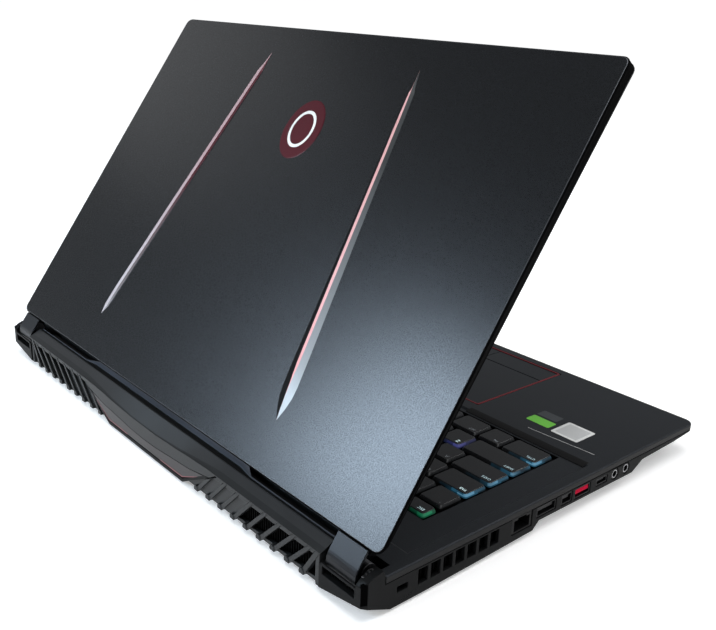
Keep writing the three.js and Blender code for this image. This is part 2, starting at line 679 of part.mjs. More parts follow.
function grille() {
  const [zLow, zHigh] = GRILLE.z;
  const [yBack, yFront] = GRILLE.y;
  const bar = ([z0, z1], front) => prismY([
    [grilleInnerX(z0), z0], [GRILLE.outer, z0], [GRILLE.outer, z1], [grilleInnerX(z1), z1],
  ], yBack, front);
  const rails = [bar(RAILS.bottom, yFront - RAILS.bottomInset), bar(RAILS.top, yFront - 0.5)];
  const closedEnd = RIBS.footFirst + RIBS.closed * RIBS.footPitch;
  const closedCells = prismY([
    [grilleInnerX(zLow), zLow], [closedEnd, zLow],
    [closedEnd + RIBS.slant, zHigh], [grilleInnerX(zHigh), zHigh],
  ], yBack + 0.8, yBack + 2.4);
  const endPost = box([GRILLE.outer - END_POST, GRILLE.outer], [yBack, yFront - 0.5], GRILLE.z);
  const ribs = Array.from({ length: RIBS.count }, (_, i) => grilleRib(i));
  return join(...rails, endPost, closedCells, ...ribs).intersect(bar(GRILLE.z, yFront));
}

// ---- hinges ------------------------------------------------------------------------------------
const HINGE_AXIS = [HINGE_Y, HINGE_Z];
const KNUCKLE = 4.2;
const SHAFT = 2;
const BORE = 2.35;
const BRACKET_X = [183, 189.5];
const ARM_X = [175, 181.5];

function hingeBase() {
  const [x0, x1] = BRACKET_X;
  const leg = [[115.2, 9], [120.4, 9], [124, 14.5], [119.7, 17.4], [115.2, 14]];
  return cut(
    join(
      prismX(leg, x0, x1), cylinderX(HINGE_AXIS, KNUCKLE, x0, x1),
      box([172.5, x1], [115.2, 120.4], [9, 10.2]),
    ),
    cylinderX(HINGE_AXIS, BORE, x0 - 1, x1 + 1),
  );
}

// Modelled with the lid closed, like every piece of the lid.
function hingeArm() {
  const [x0, x1] = ARM_X;
  const leg = [
    [112, 22.9], [114.6, 22.7], [116.2, 20.9], [120.3, 16.5], [125, 22.2], [116.5, 24.4], [112, 24.4],
  ];
  return join(
    prismX(leg, x0, x1), cylinderX(HINGE_AXIS, KNUCKLE, x0, x1),
    cylinderX(HINGE_AXIS, SHAFT, x0, BRACKET_X[1] + 0.6),
    box([173.4, 184], [97, 111.4], [22.9, 24.4]), box([x0, x1], [111, 113], [22.9, 24.4]),
  );
}

// A curved shell that carries the lid's rear edge over and behind the hinge.
function hingeCover() {
  const inner = COVER_RADIUS - COVER_THICKNESS;
  return prismX([
    [LID_REAR + GAP, CLOSED_HEIGHT - COVER_THICKNESS],
    ...arc(HINGE_AXIS, inner, 90, 30, 8), ...arc(HINGE_AXIS, COVER_RADIUS, 30, 90, 8),
    [LID_REAR + GAP, CLOSED_HEIGHT],
  ], NOTCH_INNER + 1, NOTCH_OUTER - 1.5);
}

// ---- lid ---------------------------------------------------------------------------------------
const lidOutline = (inset) => roundedRect(
  [-HALF_W + inset, HALF_W - inset], [LID_FRONT + inset, LID_REAR - inset], 5 - inset, 4);

function lidBackCover() {
  const body = stack([
    { outline: lidOutline(0), z: LID_RIM },
    { outline: lidOutline(0), z: CLOSED_HEIGHT - 1 },
    { outline: lidOutline(1), z: CLOSED_HEIGHT },
  ]);
  const pocket = prismZ(lidOutline(WALL), LID_BOTTOM, CLOSED_HEIGHT - LID_SKIN);
  const armNotch = box(
    [ARM_X[0] - 0.5, ARM_X[1] + 0.5], [LID_REAR - WALL - 1, LID_REAR + 1], [LID_BOTTOM, 24.9]);
  const ridgeSeat = ridgeBody(RIDGE.halfWidth + GAP, 0.6, 0.5);
  const badgeSeat = badgeDisc(GAP, [CLOSED_HEIGHT - 0.6, TOP]);
  return cut(body, pocket, armNotch, mirrorX(armNotch), ridgeSeat, mirrorX(ridgeSeat), badgeSeat);
}

// Long blade-like ridges on the back of the lid, closer together towards the lid's top edge.
const RIDGE = { foot: [100, 27], tip: [71, 230], halfWidth: 3.2, height: 1.5, taper: 0.13 };

// Sections along the blade: thin at both ends, full in between. sink is how deep it is let in.
function ridgeBody(halfWidth, sink, extra) {
  const [x0, s0] = RIDGE.foot;
  const [x1, s1] = RIDGE.tip;
  const along = new THREE.Vector2(x1 - x0, s1 - s0).normalize();
  const stations = [[0 - extra / 100, 0.3], [RIDGE.taper, 1], [0.93, 1], [1 + extra / 100, 0.3]];
  return loft(stations.map(([t, full]) => {
    const half = halfWidth * full;
    const centre = [x0 + (x1 - x0) * t, LID_REAR - s0 - (s1 - s0) * t];
    const at = (offset, z) => [centre[0] + offset * along.y, centre[1] + offset * along.x, z];
    const base = CLOSED_HEIGHT - sink;
    const shoulder = extra ? CLOSED_HEIGHT + 1 : CLOSED_HEIGHT + 0.3;
    const crest = extra ? CLOSED_HEIGHT + 2 : CLOSED_HEIGHT + RIDGE.height * full;
    return [at(half, base), at(half, shoulder), at(half * 0.2, crest), at(-half, shoulder), at(-half, base)];
  }));
}

const BADGE = { s: 182, halfWidth: 17, halfLength: 20 };

function badgeDisc(grow, [z0, z1]) {
  const points = arc([0, 0], 1, 0, 350, 35).map(([x, y]) => [
    x * (BADGE.halfWidth + grow), LID_REAR - BADGE.s + y * (BADGE.halfLength + grow)]);
  return prismZ(points, z0, z1);
}

const SCREEN_Y = [LID_FRONT + TOP_BEZEL, LID_FRONT + TOP_BEZEL + SCREEN_HEIGHT];
const LENS = [0, LID_FRONT + 4.6];

function screenBezel() {
  const body = stack([
    { outline: lidOutline(0.6), z: LID_BOTTOM },
    { outline: lidOutline(0), z: LID_BOTTOM + 0.6 },
    { outline: lidOutline(0), z: LID_RIM - GAP },
  ]);
  const window = box([-SCREEN_WIDTH / 2, SCREEN_WIDTH / 2], SCREEN_Y, [0, TOP]);
  return cut(body, window, cylinderZ(LENS, 1.7, 0, TOP, 16));
}

const lcdPanel = () => box(
  [-SCREEN_WIDTH / 2 - 2.6, SCREEN_WIDTH / 2 + 2.6], [SCREEN_Y[0] - 2.4, SCREEN_Y[1] + 3], [LID_RIM, 25.4]);

function webcamModule() {
  return join(
    box([-30, 30], [LENS[1] - 1.9, LENS[1] + 1.9], [LID_RIM + 0.1, 25.2]),
    cylinderZ(LENS, 1.3, LID_BOTTOM + 0.4, LID_RIM + 0.5, 16),
  );
}

// ---- inner modules -----------------------------------------------------------------------------
const INNER_FLOOR = 5;
const FAN_TOP = 14.2;

function fanHousing() {
  const [x, y] = FAN_CENTRE;
  const block = box([x - 39, x + 39], [y - 39, y + 39], [INNER_FLOOR, FAN_TOP]);
  const rotorRoom = cylinderZ(FAN_CENTRE, 34, INNER_FLOOR - 1, FAN_TOP - 1, 32);
  const outlet = box([x - 34, x + 30], [y, y + 40], [INNER_FLOOR + 1, FAN_TOP - 1]);
  const inlet = cylinderZ(FAN_CENTRE, 18, FAN_TOP - 2, FAN_TOP + 1, 24);
  const spindle = cylinderZ(FAN_CENTRE, 1.5, INNER_FLOOR + 1.2, FAN_TOP - 0.5, 12);
  const spider = box([x - 20, x + 20], [y - 2, y + 2], [FAN_TOP - 1, FAN_TOP]);
  return join(cut(block, rotorRoom, outlet, inlet), spider, spindle);
}

function fanRotor() {
  const [x, y] = FAN_CENTRE;
  const blades = Array.from({ length: 13 }, (_, i) => {
    const turn = i * 360 / 13;
    const tip = arc(FAN_CENTRE, 31.5, turn + 22, turn + 25, 1);
    const root = arc(FAN_CENTRE, 10, turn + 8, turn, 1);
    return prismZ([root[1], tip[0], tip[1], root[0]], INNER_FLOOR + 0.8, FAN_TOP - 2);
  });
  const hub = cylinderZ([x, y], 12, INNER_FLOOR + 0.8, FAN_TOP - 1.6, 24);
  return cut(join(hub, ...blades), cylinderZ([x, y], 1.9, 0, TOP, 12));
}

function tubeAlong(points, width, height) {
  const path = new THREE.CatmullRomCurve3(points.map((p) => new THREE.Vector3(...p)));
  const section = new THREE.Shape(
    arc([0, 0], 1, 0, 315, 7).map(([a, b]) => new THREE.Vector2(a * height / 2, b * width / 2)));
  return toSolid(new THREE.ExtrudeGeometry(section, { steps: 24, bevelEnabled: false, extrudePath: path }));
}

const PIPE = { z: 9.2, width: 6, height: 3.2 };

// Fin stacks behind the grilles, heat plates on the two chips, and the flat pipes between them.
function heatPipes() {
  const finZ = [INNER_FLOOR + 0.2, 13.8];
  const stackRight = box([84, 160], [113.2, 128], finZ);
  const plates = [box([-46, -10], [58, 94], [10, 12.6]), box([12, 54], [54, 96], [10, 12.6])];
  const pipe = (points) => tubeAlong(points.map(([x, y]) => [x, y, PIPE.z]), PIPE.width, PIPE.height);
  const left = pipe([[-20, 66], [-30, 80], [-50, 112], [-80, 119], [-150, 119]]);
  const right = pipe([[30, 62], [40, 84], [56, 112], [84, 119], [150, 119]]);
  const bridge = pipe([[-30, 86], [-10, 88], [12, 88], [40, 86]]);
  return join(stackRight, mirrorX(stackRight), ...plates, left, right, bridge);
}

function motherboard() {
  return prismZ([
    [-178, -34], [178, -34], [178, 26], [80, 26], [80, 108], [-80, 108], [-80, 26], [-178, 26],
  ], 12.9, 14.1);
}

const battery = () => join(
  box([-118, 118], [-106, -40], [INNER_FLOOR + 0.2, 13.6]), box([-20, 20], [-41, -36], [8, 12.5]));
const speaker = () => box(SPEAKER.x, SPEAKER.y, SPEAKER.z);
const ssd = () => join(box([20, 100], [-4, 18], [11.4, 12.4]), box([24, 96], [-2, 16], [10, 11.5]));
const memory = () => join(box([-96, -28], [-8, 22], [11.4, 12.4]), box([-92, -32], [-4, 18], [10.4, 11.5]));

// ---- feet --------------------------------------------------------------------------------------
const rearFoot = () => prismZ(roundedRect([70, 172], [98, 108], 4, 4), 0, UNDERSIDE_REAR - GAP);
const frontFoot = () => prismZ(roundedRect([112, 160], [-110, -102], 3.5, 4), 0, UNDERSIDE_FRONT - GAP);

// ---- assembly ----------------------------------------------------------------------------------
function addBase() {
  add('bottom_cover', bottomCover(), BLACK_PLASTIC);
  add('palmrest_cover', palmrestCover(), BLACK_PLASTIC);
  add('rear_deck', rearDeck(), BLACK_PLASTIC);
  addPair('rear_grille', grille(), BLACK_PLASTIC);
  add('rear_centre_trim', rearCentreTrim(), RED_METAL);
  add('keyboard_plate', keyboardPlate(), DARK_PLASTIC);
  add('touchpad', touchpad(), BLACK_PLASTIC);
  add('touchpad_trim', touchpadTrim(), RED_METAL);
  const middle = (PAD_LEFT + PAD_RIGHT) / 2;
  add('touch_button_left', touchButton([PAD_LEFT + PAD_INSET, middle - GAP]), BLACK_PLASTIC);
  add('touch_button_right', touchButton([middle + GAP, PAD_RIGHT - PAD_INSET]), BLACK_PLASTIC);
  add('power_button', powerButton(), DARK_PLASTIC);
  addPair('hinge_base', hingeBase(), STEEL);
  addPair('foot_rear', rearFoot(), RUBBER);
  addPair('foot_front', frontFoot(), RUBBER);
}

function addInside() {
  add('motherboard', motherboard(), BOARD);
  add('heat_pipe_assembly', heatPipes(), COPPER);
  addPair('fan_housing', fanHousing(), DARK_PLASTIC);
  addPair('fan_rotor', fanRotor(), DARK_PLASTIC);
  add('battery', battery(), BATTERY_WRAP);
  addPair('speaker', speaker(), DARK_PLASTIC);
  add('ssd', ssd(), BOARD);
  add('memory_module', memory(), BOARD);
}

function addLid() {
  add('lid_back_cover', lidBackCover(), LID_METAL, lid);
  addPair('lid_ridge', ridgeBody(RIDGE.halfWidth, 0.3, 0), RED_METAL, lid);
  add('lid_badge', badgeDisc(0, [CLOSED_HEIGHT - 0.3, CLOSED_HEIGHT + 0.4]), RED_METAL, lid);
  add('screen_bezel', screenBezel(), DARK_PLASTIC, lid);
  add('lcd_panel', lcdPanel(), SCREEN_GLASS, lid);
  add('webcam_module', webcamModule(), DARK_PLASTIC, lid);
  addPair('hinge_cover', hingeCover(), LID_METAL, lid);
  addPair('hinge_arm', hingeArm(), STEEL, lid);
}

addBase();
addInside();
addSockets();
addKeys();
addLid();

export default laptop;
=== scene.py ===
"""Looks of a 17-inch gaming laptop, half open, seen from behind on a pale floor."""

import math

import bmesh
import bpy
from mathutils import Matrix, Vector
from mathutils.bvhtree import BVHTree


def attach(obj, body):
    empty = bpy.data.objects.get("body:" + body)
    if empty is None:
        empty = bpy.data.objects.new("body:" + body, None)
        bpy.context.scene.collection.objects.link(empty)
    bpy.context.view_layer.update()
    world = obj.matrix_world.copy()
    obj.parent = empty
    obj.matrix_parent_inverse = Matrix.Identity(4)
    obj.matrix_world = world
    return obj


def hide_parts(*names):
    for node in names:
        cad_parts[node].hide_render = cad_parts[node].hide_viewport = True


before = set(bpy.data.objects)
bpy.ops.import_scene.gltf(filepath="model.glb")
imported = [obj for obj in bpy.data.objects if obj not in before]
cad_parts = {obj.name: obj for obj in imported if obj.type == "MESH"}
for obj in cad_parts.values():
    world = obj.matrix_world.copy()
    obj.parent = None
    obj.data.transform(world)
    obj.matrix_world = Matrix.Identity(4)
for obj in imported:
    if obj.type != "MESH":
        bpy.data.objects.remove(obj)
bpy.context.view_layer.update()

SCENE = bpy.context.scene
MM = 0.001
RAD = math.pi / 180

# ---- dimensions shared with the CAD frame, in millimetres ----------------------------------------
HALF_W = 198.5
HINGE = (123.5, 18.3)          # y, z of the hinge axis
LID_OPEN = 55.7                # degrees, as stored
LID_REAR, LID_FRONT = 114.0, -136.25   # ends of the closed lid along Y
# Heights of the closed lid: its back, the rim of the screen border, the screen side.
LID_TOP, LID_RIM, LID_FACE = 27.5, 22.0, 20.6
PITCH_X, PITCH_Y, KEYS_LEFT, BOTTOM_ROW = 18.2, 18.3, -173.0, -19.0

PAINT_RELIEF, MOULDED_RELIEF = 0.00005, 0.00008   # depth of surface grain, in metres


# ---- node helpers --------------------------------------------------------------------------------
class Nodes:
    """A short way to write a material's node tree."""

    def __init__(self, name):
        self.material = bpy.data.materials.new(name)
        self.material.use_nodes = True
        self.tree = self.material.node_tree
        self.shader = self.tree.nodes["Principled BSDF"]

    def add(self, kind, inputs=None, **settings):
        node = self.tree.nodes.new(kind)
        for key, value in settings.items():
            setattr(node, key, value)
        for key, value in (inputs or {}).items():
            if isinstance(value, bpy.types.NodeSocket):
                self.tree.links.new(value, node.inputs[key])
            else:
                node.inputs[key].default_value = value
        return node

    def set(self, key, value):
        if isinstance(value, bpy.types.NodeSocket):
            self.tree.links.new(value, self.shader.inputs[key])
        else:
            self.shader.inputs[key].default_value = value

    def place(self):
        return self.add("ShaderNodeTexCoord").outputs["Object"]

    def noise(self, scale, detail=2.0, stretch=None):
        place = self.place()
        if stretch:
            place = self.add("ShaderNodeMapping", {"Vector": place, "Scale": stretch}).outputs["Vector"]
        node = self.add("ShaderNodeTexNoise", {"Vector": place, "Scale": scale, "Detail": detail})
        return node.outputs["Fac"]

    def spread(self, fac, low, high, from_low=0.3, from_high=0.7):
        """Maps a 0 to 1 pattern to a range of values."""
        return self.add("ShaderNodeMapRange", {
            "Value": fac, "From Min": from_low, "From Max": from_high, "To Min": low, "To Max": high,
        }).outputs["Result"]

    def mix(self, fac, a, b):
        node = self.add("ShaderNodeMix", data_type="RGBA")
        self.tree.links.new(fac, node.inputs[0])
        for socket, value in ((node.inputs[6], a), (node.inputs[7], b)):
            if isinstance(value, bpy.types.NodeSocket):
                self.tree.links.new(value, socket)
            else:
                socket.default_value = value
        return node.outputs[2]

    def bump(self, height, strength, distance):
        node = self.add("ShaderNodeBump", {"Height": height, "Strength": strength, "Distance": distance})
        self.set("Normal", node.outputs["Normal"])


def rgba(color, factor=1.0):
    return (*[min(1.0, c * factor) for c in color], 1.0)


def surface(name, color, roughness, metallic=0.0, grain=2500.0, bump=0.06, vary=0.12, coat=0.0,
            specular=0.35):
    """A moulded, painted or machined surface: fine grain, faint mottling and uneven gloss."""
    n = Nodes(name)
    fine = n.noise(grain, 3.0)
    broad = n.noise(22.0, 3.0)
    n.set("Base Color", n.mix(n.spread(broad, 0.0, 1.0), rgba(color, 1 - vary), rgba(color, 1 + vary)))
    n.set("Roughness", n.spread(fine, roughness * 0.86, min(1.0, roughness * 1.14)))
    n.set("Metallic", metallic)
    n.set("Specular IOR Level", specular)
    if coat:
        n.set("Coat Weight", coat)
        n.set("Coat Roughness", 0.12)
    n.bump(fine, bump, MOULDED_RELIEF)
    return n.material


def flake_metal(name, dark, light, roughness, metallic, side=None):
    """Anodised or painted sheet metal with a fine sparkle; its upright edges may be painted another tone."""
    n = Nodes(name)
    cells = n.add("ShaderNodeTexVoronoi", {"Vector": n.place(), "Scale": 5200.0}).outputs["Color"]
    flake = n.add("ShaderNodeSeparateColor", {"Color": cells}).outputs[0]
    fine = n.noise(7000.0, 2.0)
    broad = n.noise(9.0, 2.0)
    color = n.mix(n.spread(flake, 0.0, 1.0, 0.0, 1.0), rgba(dark), rgba(light))
    color = n.mix(n.spread(broad, 0.0, 0.3), color, rgba(dark))
    if side:
        normal = n.add("ShaderNodeTexCoord").outputs["Normal"]
        up = n.add("ShaderNodeSeparateXYZ", {"Vector": normal}).outputs["Z"]
        color = n.mix(n.spread(up, 0.0, 1.0, 0.25, 0.6), rgba(side), color)
        metallic = n.spread(up, 0.0, metallic, 0.25, 0.6)
        n.set("Specular IOR Level", 0.12)
    n.set("Base Color", color)
    n.set("Roughness", n.spread(flake, roughness - 0.05, roughness + 0.06, 0.0, 1.0))
    n.set("Metallic", metallic)
    n.bump(fine, 0.02, PAINT_RELIEF)
    return n.material


def glow(name, color, strength, under=(0.02, 0.02, 0.02)):
    """A lit translucent plastic whose brightness varies a little along it."""
    n = Nodes(name)
    fac = n.noise(60.0, 1.0)
    n.set("Base Color", rgba(under))
    n.set("Emission Color", n.mix(n.spread(fac, 0.0, 1.0, 0.38, 0.62), rgba(color, 0.3), rgba(color, 1.4)))
    n.set("Emission Strength", strength)
    n.set("Roughness", n.spread(fac, 0.45, 0.6))
    return n.material


def brushed(name, color, roughness, stretch):
    """Metal with fine parallel scratches."""
    n = Nodes(name)
    lines = n.noise(260.0, 4.0, stretch)
    n.set("Base Color", n.mix(n.spread(lines, 0.0, 1.0), rgba(color, 0.8), rgba(color, 1.1)))
    n.set("Roughness", n.spread(lines, roughness * 0.75, roughness * 1.25))
    n.set("Metallic", 1.0)
    n.bump(lines, 0.08, PAINT_RELIEF)
    return n.material


def cooler(name, pipe, fin, border):
    """Bare pipe metal that turns to dark finned metal behind a border along Y."""
    n = Nodes(name)
    y = n.add("ShaderNodeSeparateXYZ", {"Vector": n.place()}).outputs["Y"]
    side = n.add("ShaderNodeMath", {0: y, 1: border}, operation="GREATER_THAN").outputs[0]
    lines = n.noise(300.0, 3.0, (1.0, 0.1, 0.1))
    bare = n.mix(n.spread(lines, 0.0, 1.0), rgba(pipe, 0.8), rgba(pipe, 1.1))
    n.set("Base Color", n.mix(side, bare, rgba(fin)))
    n.set("Roughness", n.spread(lines, 0.28, 0.45))
    n.set("Metallic", 0.8)
    n.bump(lines, 0.08, PAINT_RELIEF)
    return n.material


def faded(name, low, high, heights, roughness):
    """A facet whose tone changes with height above the table, as painted highlight and shade along the
    ridges.
    """
    n = Nodes(name)
    z = n.add("ShaderNodeSeparateXYZ", {"Vector": n.place()}).outputs["Z"]
    grain = n.noise(1800.0, 2.0)
    n.set("Base Color", n.mix(n.spread(z, 0.0, 1.0, *heights), rgba(low), rgba(high)))
    n.set("Roughness", n.spread(grain, roughness * 0.85, roughness * 1.15))
    n.set("Metallic", 0.2)
    n.set("Specular IOR Level", 0.3)
    n.bump(grain, 0.03, PAINT_RELIEF)
    return n.material


MAT = {
    "lid": flake_metal("lid_paint", (0.0225, 0.0235, 0.0255), (0.0325, 0.0340, 0.0370), 0.27, 0.88),
    "cover": flake_metal("hinge_cover_paint", (0.0085, 0.009, 0.0105), (0.016, 0.0175, 0.021), 0.38, 0.7),
    # Light bluish metal on the rear deck's rounded roll: a painted highlight.
    "roll": surface("roll_painted_highlight", (0.15, 0.17, 0.21), 0.46, 0.7, grain=2600.0, bump=0.04),
    # Light grey on the lid's top chamfer: a painted highlight line.
    "lid_edge_painted_highlight": surface("lid_edge_metal", (0.10, 0.105, 0.115), 0.34, 0.8, grain=3000.0, bump=0.03),
    # Near black with almost no gloss: the lid frame's black plastic, made darker than the other black parts
    # as painted shade on its rear face and edge band.
    "lid_rear": surface("lid_rear_black_and_painted_shade", (0.0012, 0.0012, 0.0013), 0.7, specular=0.02),
    "deck": flake_metal("palmrest_metal", (0.018, 0.020, 0.023), (0.040, 0.044, 0.050), 0.42, 0.6,
                        side=(0.007, 0.0072, 0.0076)),
    "black": surface("moulded_black", (0.0060, 0.0062, 0.0065), 0.42, grain=2200.0, bump=0.12, specular=0.05),
    "tail": surface("tail_black", (0.0145, 0.0155, 0.017), 0.42, 0.15, grain=2600.0, bump=0.08),
    "apron": surface("apron_black", (0.014, 0.015, 0.016), 0.42, 0.1, grain=2600.0, bump=0.08, specular=0.2),
    "rib": surface("rib_black", (0.017, 0.018, 0.019), 0.42, grain=2600.0, bump=0.08, specular=0.2),
    # Near black: the colour of inner parts, and also used as painted shade in key gaps, the deck's trough,
    # the keyboard step and behind the vents.
    "inner": surface("inner_black", (0.003, 0.003, 0.0033), 0.5, grain=2400.0, bump=0.12, specular=0.15),
    "fins": surface("fin_metal", (0.0045, 0.0045, 0.0047), 0.6, grain=2000.0, bump=0.05, specular=0.04),
    "trim": surface("centre_trim", (0.024, 0.0195, 0.0215), 0.36, 0.4, grain=2600.0, bump=0.05),
    "trim_edge": surface("trim_edge_red", (0.20, 0.07, 0.08), 0.32, 0.6, grain=2600.0, bump=0.04),
    "red": surface("red_anodised", (0.20, 0.016, 0.024), 0.36, 0.7, grain=3000.0, bump=0.04),
    "red_dark": surface("badge_red", (0.055, 0.003, 0.008), 0.36, grain=2600.0, bump=0.03, specular=0.15),
    "red_plastic": surface("red_plastic", (0.46, 0.002, 0.030), 0.5, grain=1800.0, bump=0.05, specular=0.03),
    "silver": brushed("ridge_silver", (0.55, 0.55, 0.57), 0.28, (1.0, 0.08, 1.0)),
    "steel": brushed("socket_steel", (0.52, 0.53, 0.55), 0.30, (0.08, 1.0, 1.0)),
    "copper": cooler("heat_pipe_metal", (0.62, 0.28, 0.15), (0.012, 0.012, 0.013), 0.1125),
    # Ridge facets and strips: lit and shaded copies of the lid metal and the red strip, painted highlight and
    # shade that fade with height.
    "ridge_lit_facet_painted": faded("ridge_lit_facet_painted", (0.33, 0.35, 0.37), (0.036, 0.039, 0.041), (0.060, 0.175), 0.38),
    "ridge_red_painted_sheen": faded("ridge_red_painted_sheen", (0.50, 0.16, 0.16), (0.66, 0.36, 0.36), (0.050, 0.120), 0.34),
    "ridge_pale_painted_highlight": faded("ridge_pale_painted_highlight", (0.50, 0.46, 0.49), (0.40, 0.27, 0.29), (0.080, 0.160), 0.34),
    "ridge_plum_painted_light_shade": faded("ridge_plum_painted_light_shade", (0.30, 0.29, 0.31), (0.11, 0.035, 0.045), (0.060, 0.140), 0.36),
    "ridge_shaded_facet_painted": surface("ridge_shaded_facet_painted", (0.0035, 0.0037, 0.0042), 0.5, grain=3000.0, bump=0.03,
                          specular=0.06),
    "port": surface("port_shell", (0.012, 0.012, 0.013), 0.36, 0.7, grain=2600.0, bump=0.04),
    "board": surface("circuit_board", (0.012, 0.060, 0.030), 0.42, grain=900.0, bump=0.25, vary=0.35),
    "battery": surface("battery_wrap", (0.020, 0.020, 0.023), 0.5, grain=700.0, bump=0.10),
    "void": surface("deep_shadow", (0.0008, 0.0008, 0.0009), 0.9, grain=1500.0, bump=0.02, specular=0.01),
    "hinge": brushed("hinge_steel", (0.10, 0.10, 0.105), 0.36, (0.08, 1.0, 1.0)),
    "rubber": surface("foot_rubber", (0.010, 0.010, 0.010), 0.82, grain=1300.0, bump=0.35, vary=0.2,
                      specular=0.3),
    "key": surface("key_plastic", (0.012, 0.0125, 0.0138), 0.46, grain=3200.0, bump=0.10),
    # The cap's rim: glossier than its top, and lighter as a painted highlight.
    "key_rim_painted_highlight": surface("key_rim_painted_highlight", (0.022, 0.023, 0.025), 0.26, grain=3200.0, bump=0.05, specular=0.7),
    "skirt": surface("key_skirt", (0.020, 0.021, 0.023), 0.30, grain=2000.0, bump=0.05, specular=0.6),
    "glass": surface("screen_glass", (0.003, 0.003, 0.0035), 0.22, grain=600.0, bump=0.002, coat=0.3),
    "bezel": surface("bezel_plastic", (0.006, 0.006, 0.0065), 0.55, grain=2000.0, bump=0.2, specular=0.1),
    "label_green": surface("label_green", (0.16, 0.55, 0.06), 0.4, grain=1500.0, bump=0.03),
    "label_white": surface("label_white", (0.72, 0.73, 0.72), 0.4, grain=1500.0, bump=0.03),
    "label_grey": surface("label_grey", (0.52, 0.53, 0.53), 0.4, grain=1500.0, bump=0.03),
    "label_dark": surface("label_dark", (0.04, 0.045, 0.05), 0.35, grain=1500.0, bump=0.03),
    "legend": glow("legend_light", (0.55, 0.85, 1.0), 0.9, (0.3, 0.4, 0.45)),
    "legend_dim": surface("legend_unlit", (0.30, 0.33, 0.36), 0.5, grain=2000.0, bump=0.02),
    "cyan": glow("key_glow_cyan", (0.12, 0.34, 0.52), 0.50),
    "cyan_soft": glow("key_glow_cyan_soft", (0.03, 0.17, 0.29), 0.28),
    "cyan_faint": glow("key_glow_cyan_faint", (0.01, 0.07, 0.12), 0.18),
    "blue": glow("key_glow_blue", (0.10, 0.11, 0.40), 0.30),
    "blue_soft": glow("key_glow_blue_soft", (0.05, 0.06, 0.24), 0.20),
    "blue_faint": glow("key_glow_blue_faint", (0.02, 0.03, 0.10), 0.16),
    "green": glow("key_glow_green", (0.01, 0.32, 0.14), 0.45),
    "green_soft": glow("key_glow_green_soft", (0.0, 0.18, 0.08), 0.30),
    "green_faint": glow("key_glow_green_faint", (0.0, 0.08, 0.04), 0.18),
    "screw": brushed("screw_black", (0.045, 0.045, 0.048), 0.35, (1.0, 0.1, 1.0)),
}


# ---- geometry helpers ----------------------------------------------------------------------------
def bridge(bm, layers):
    """Joins each layer of points to the next by a band of faces."""
    count = len(layers[0])
    for low, high in zip(layers, layers[1:]):
        for i in range(count):
            j = (i + 1) % count
            bm.faces.new((low[i], low[j], high[j], high[i]))


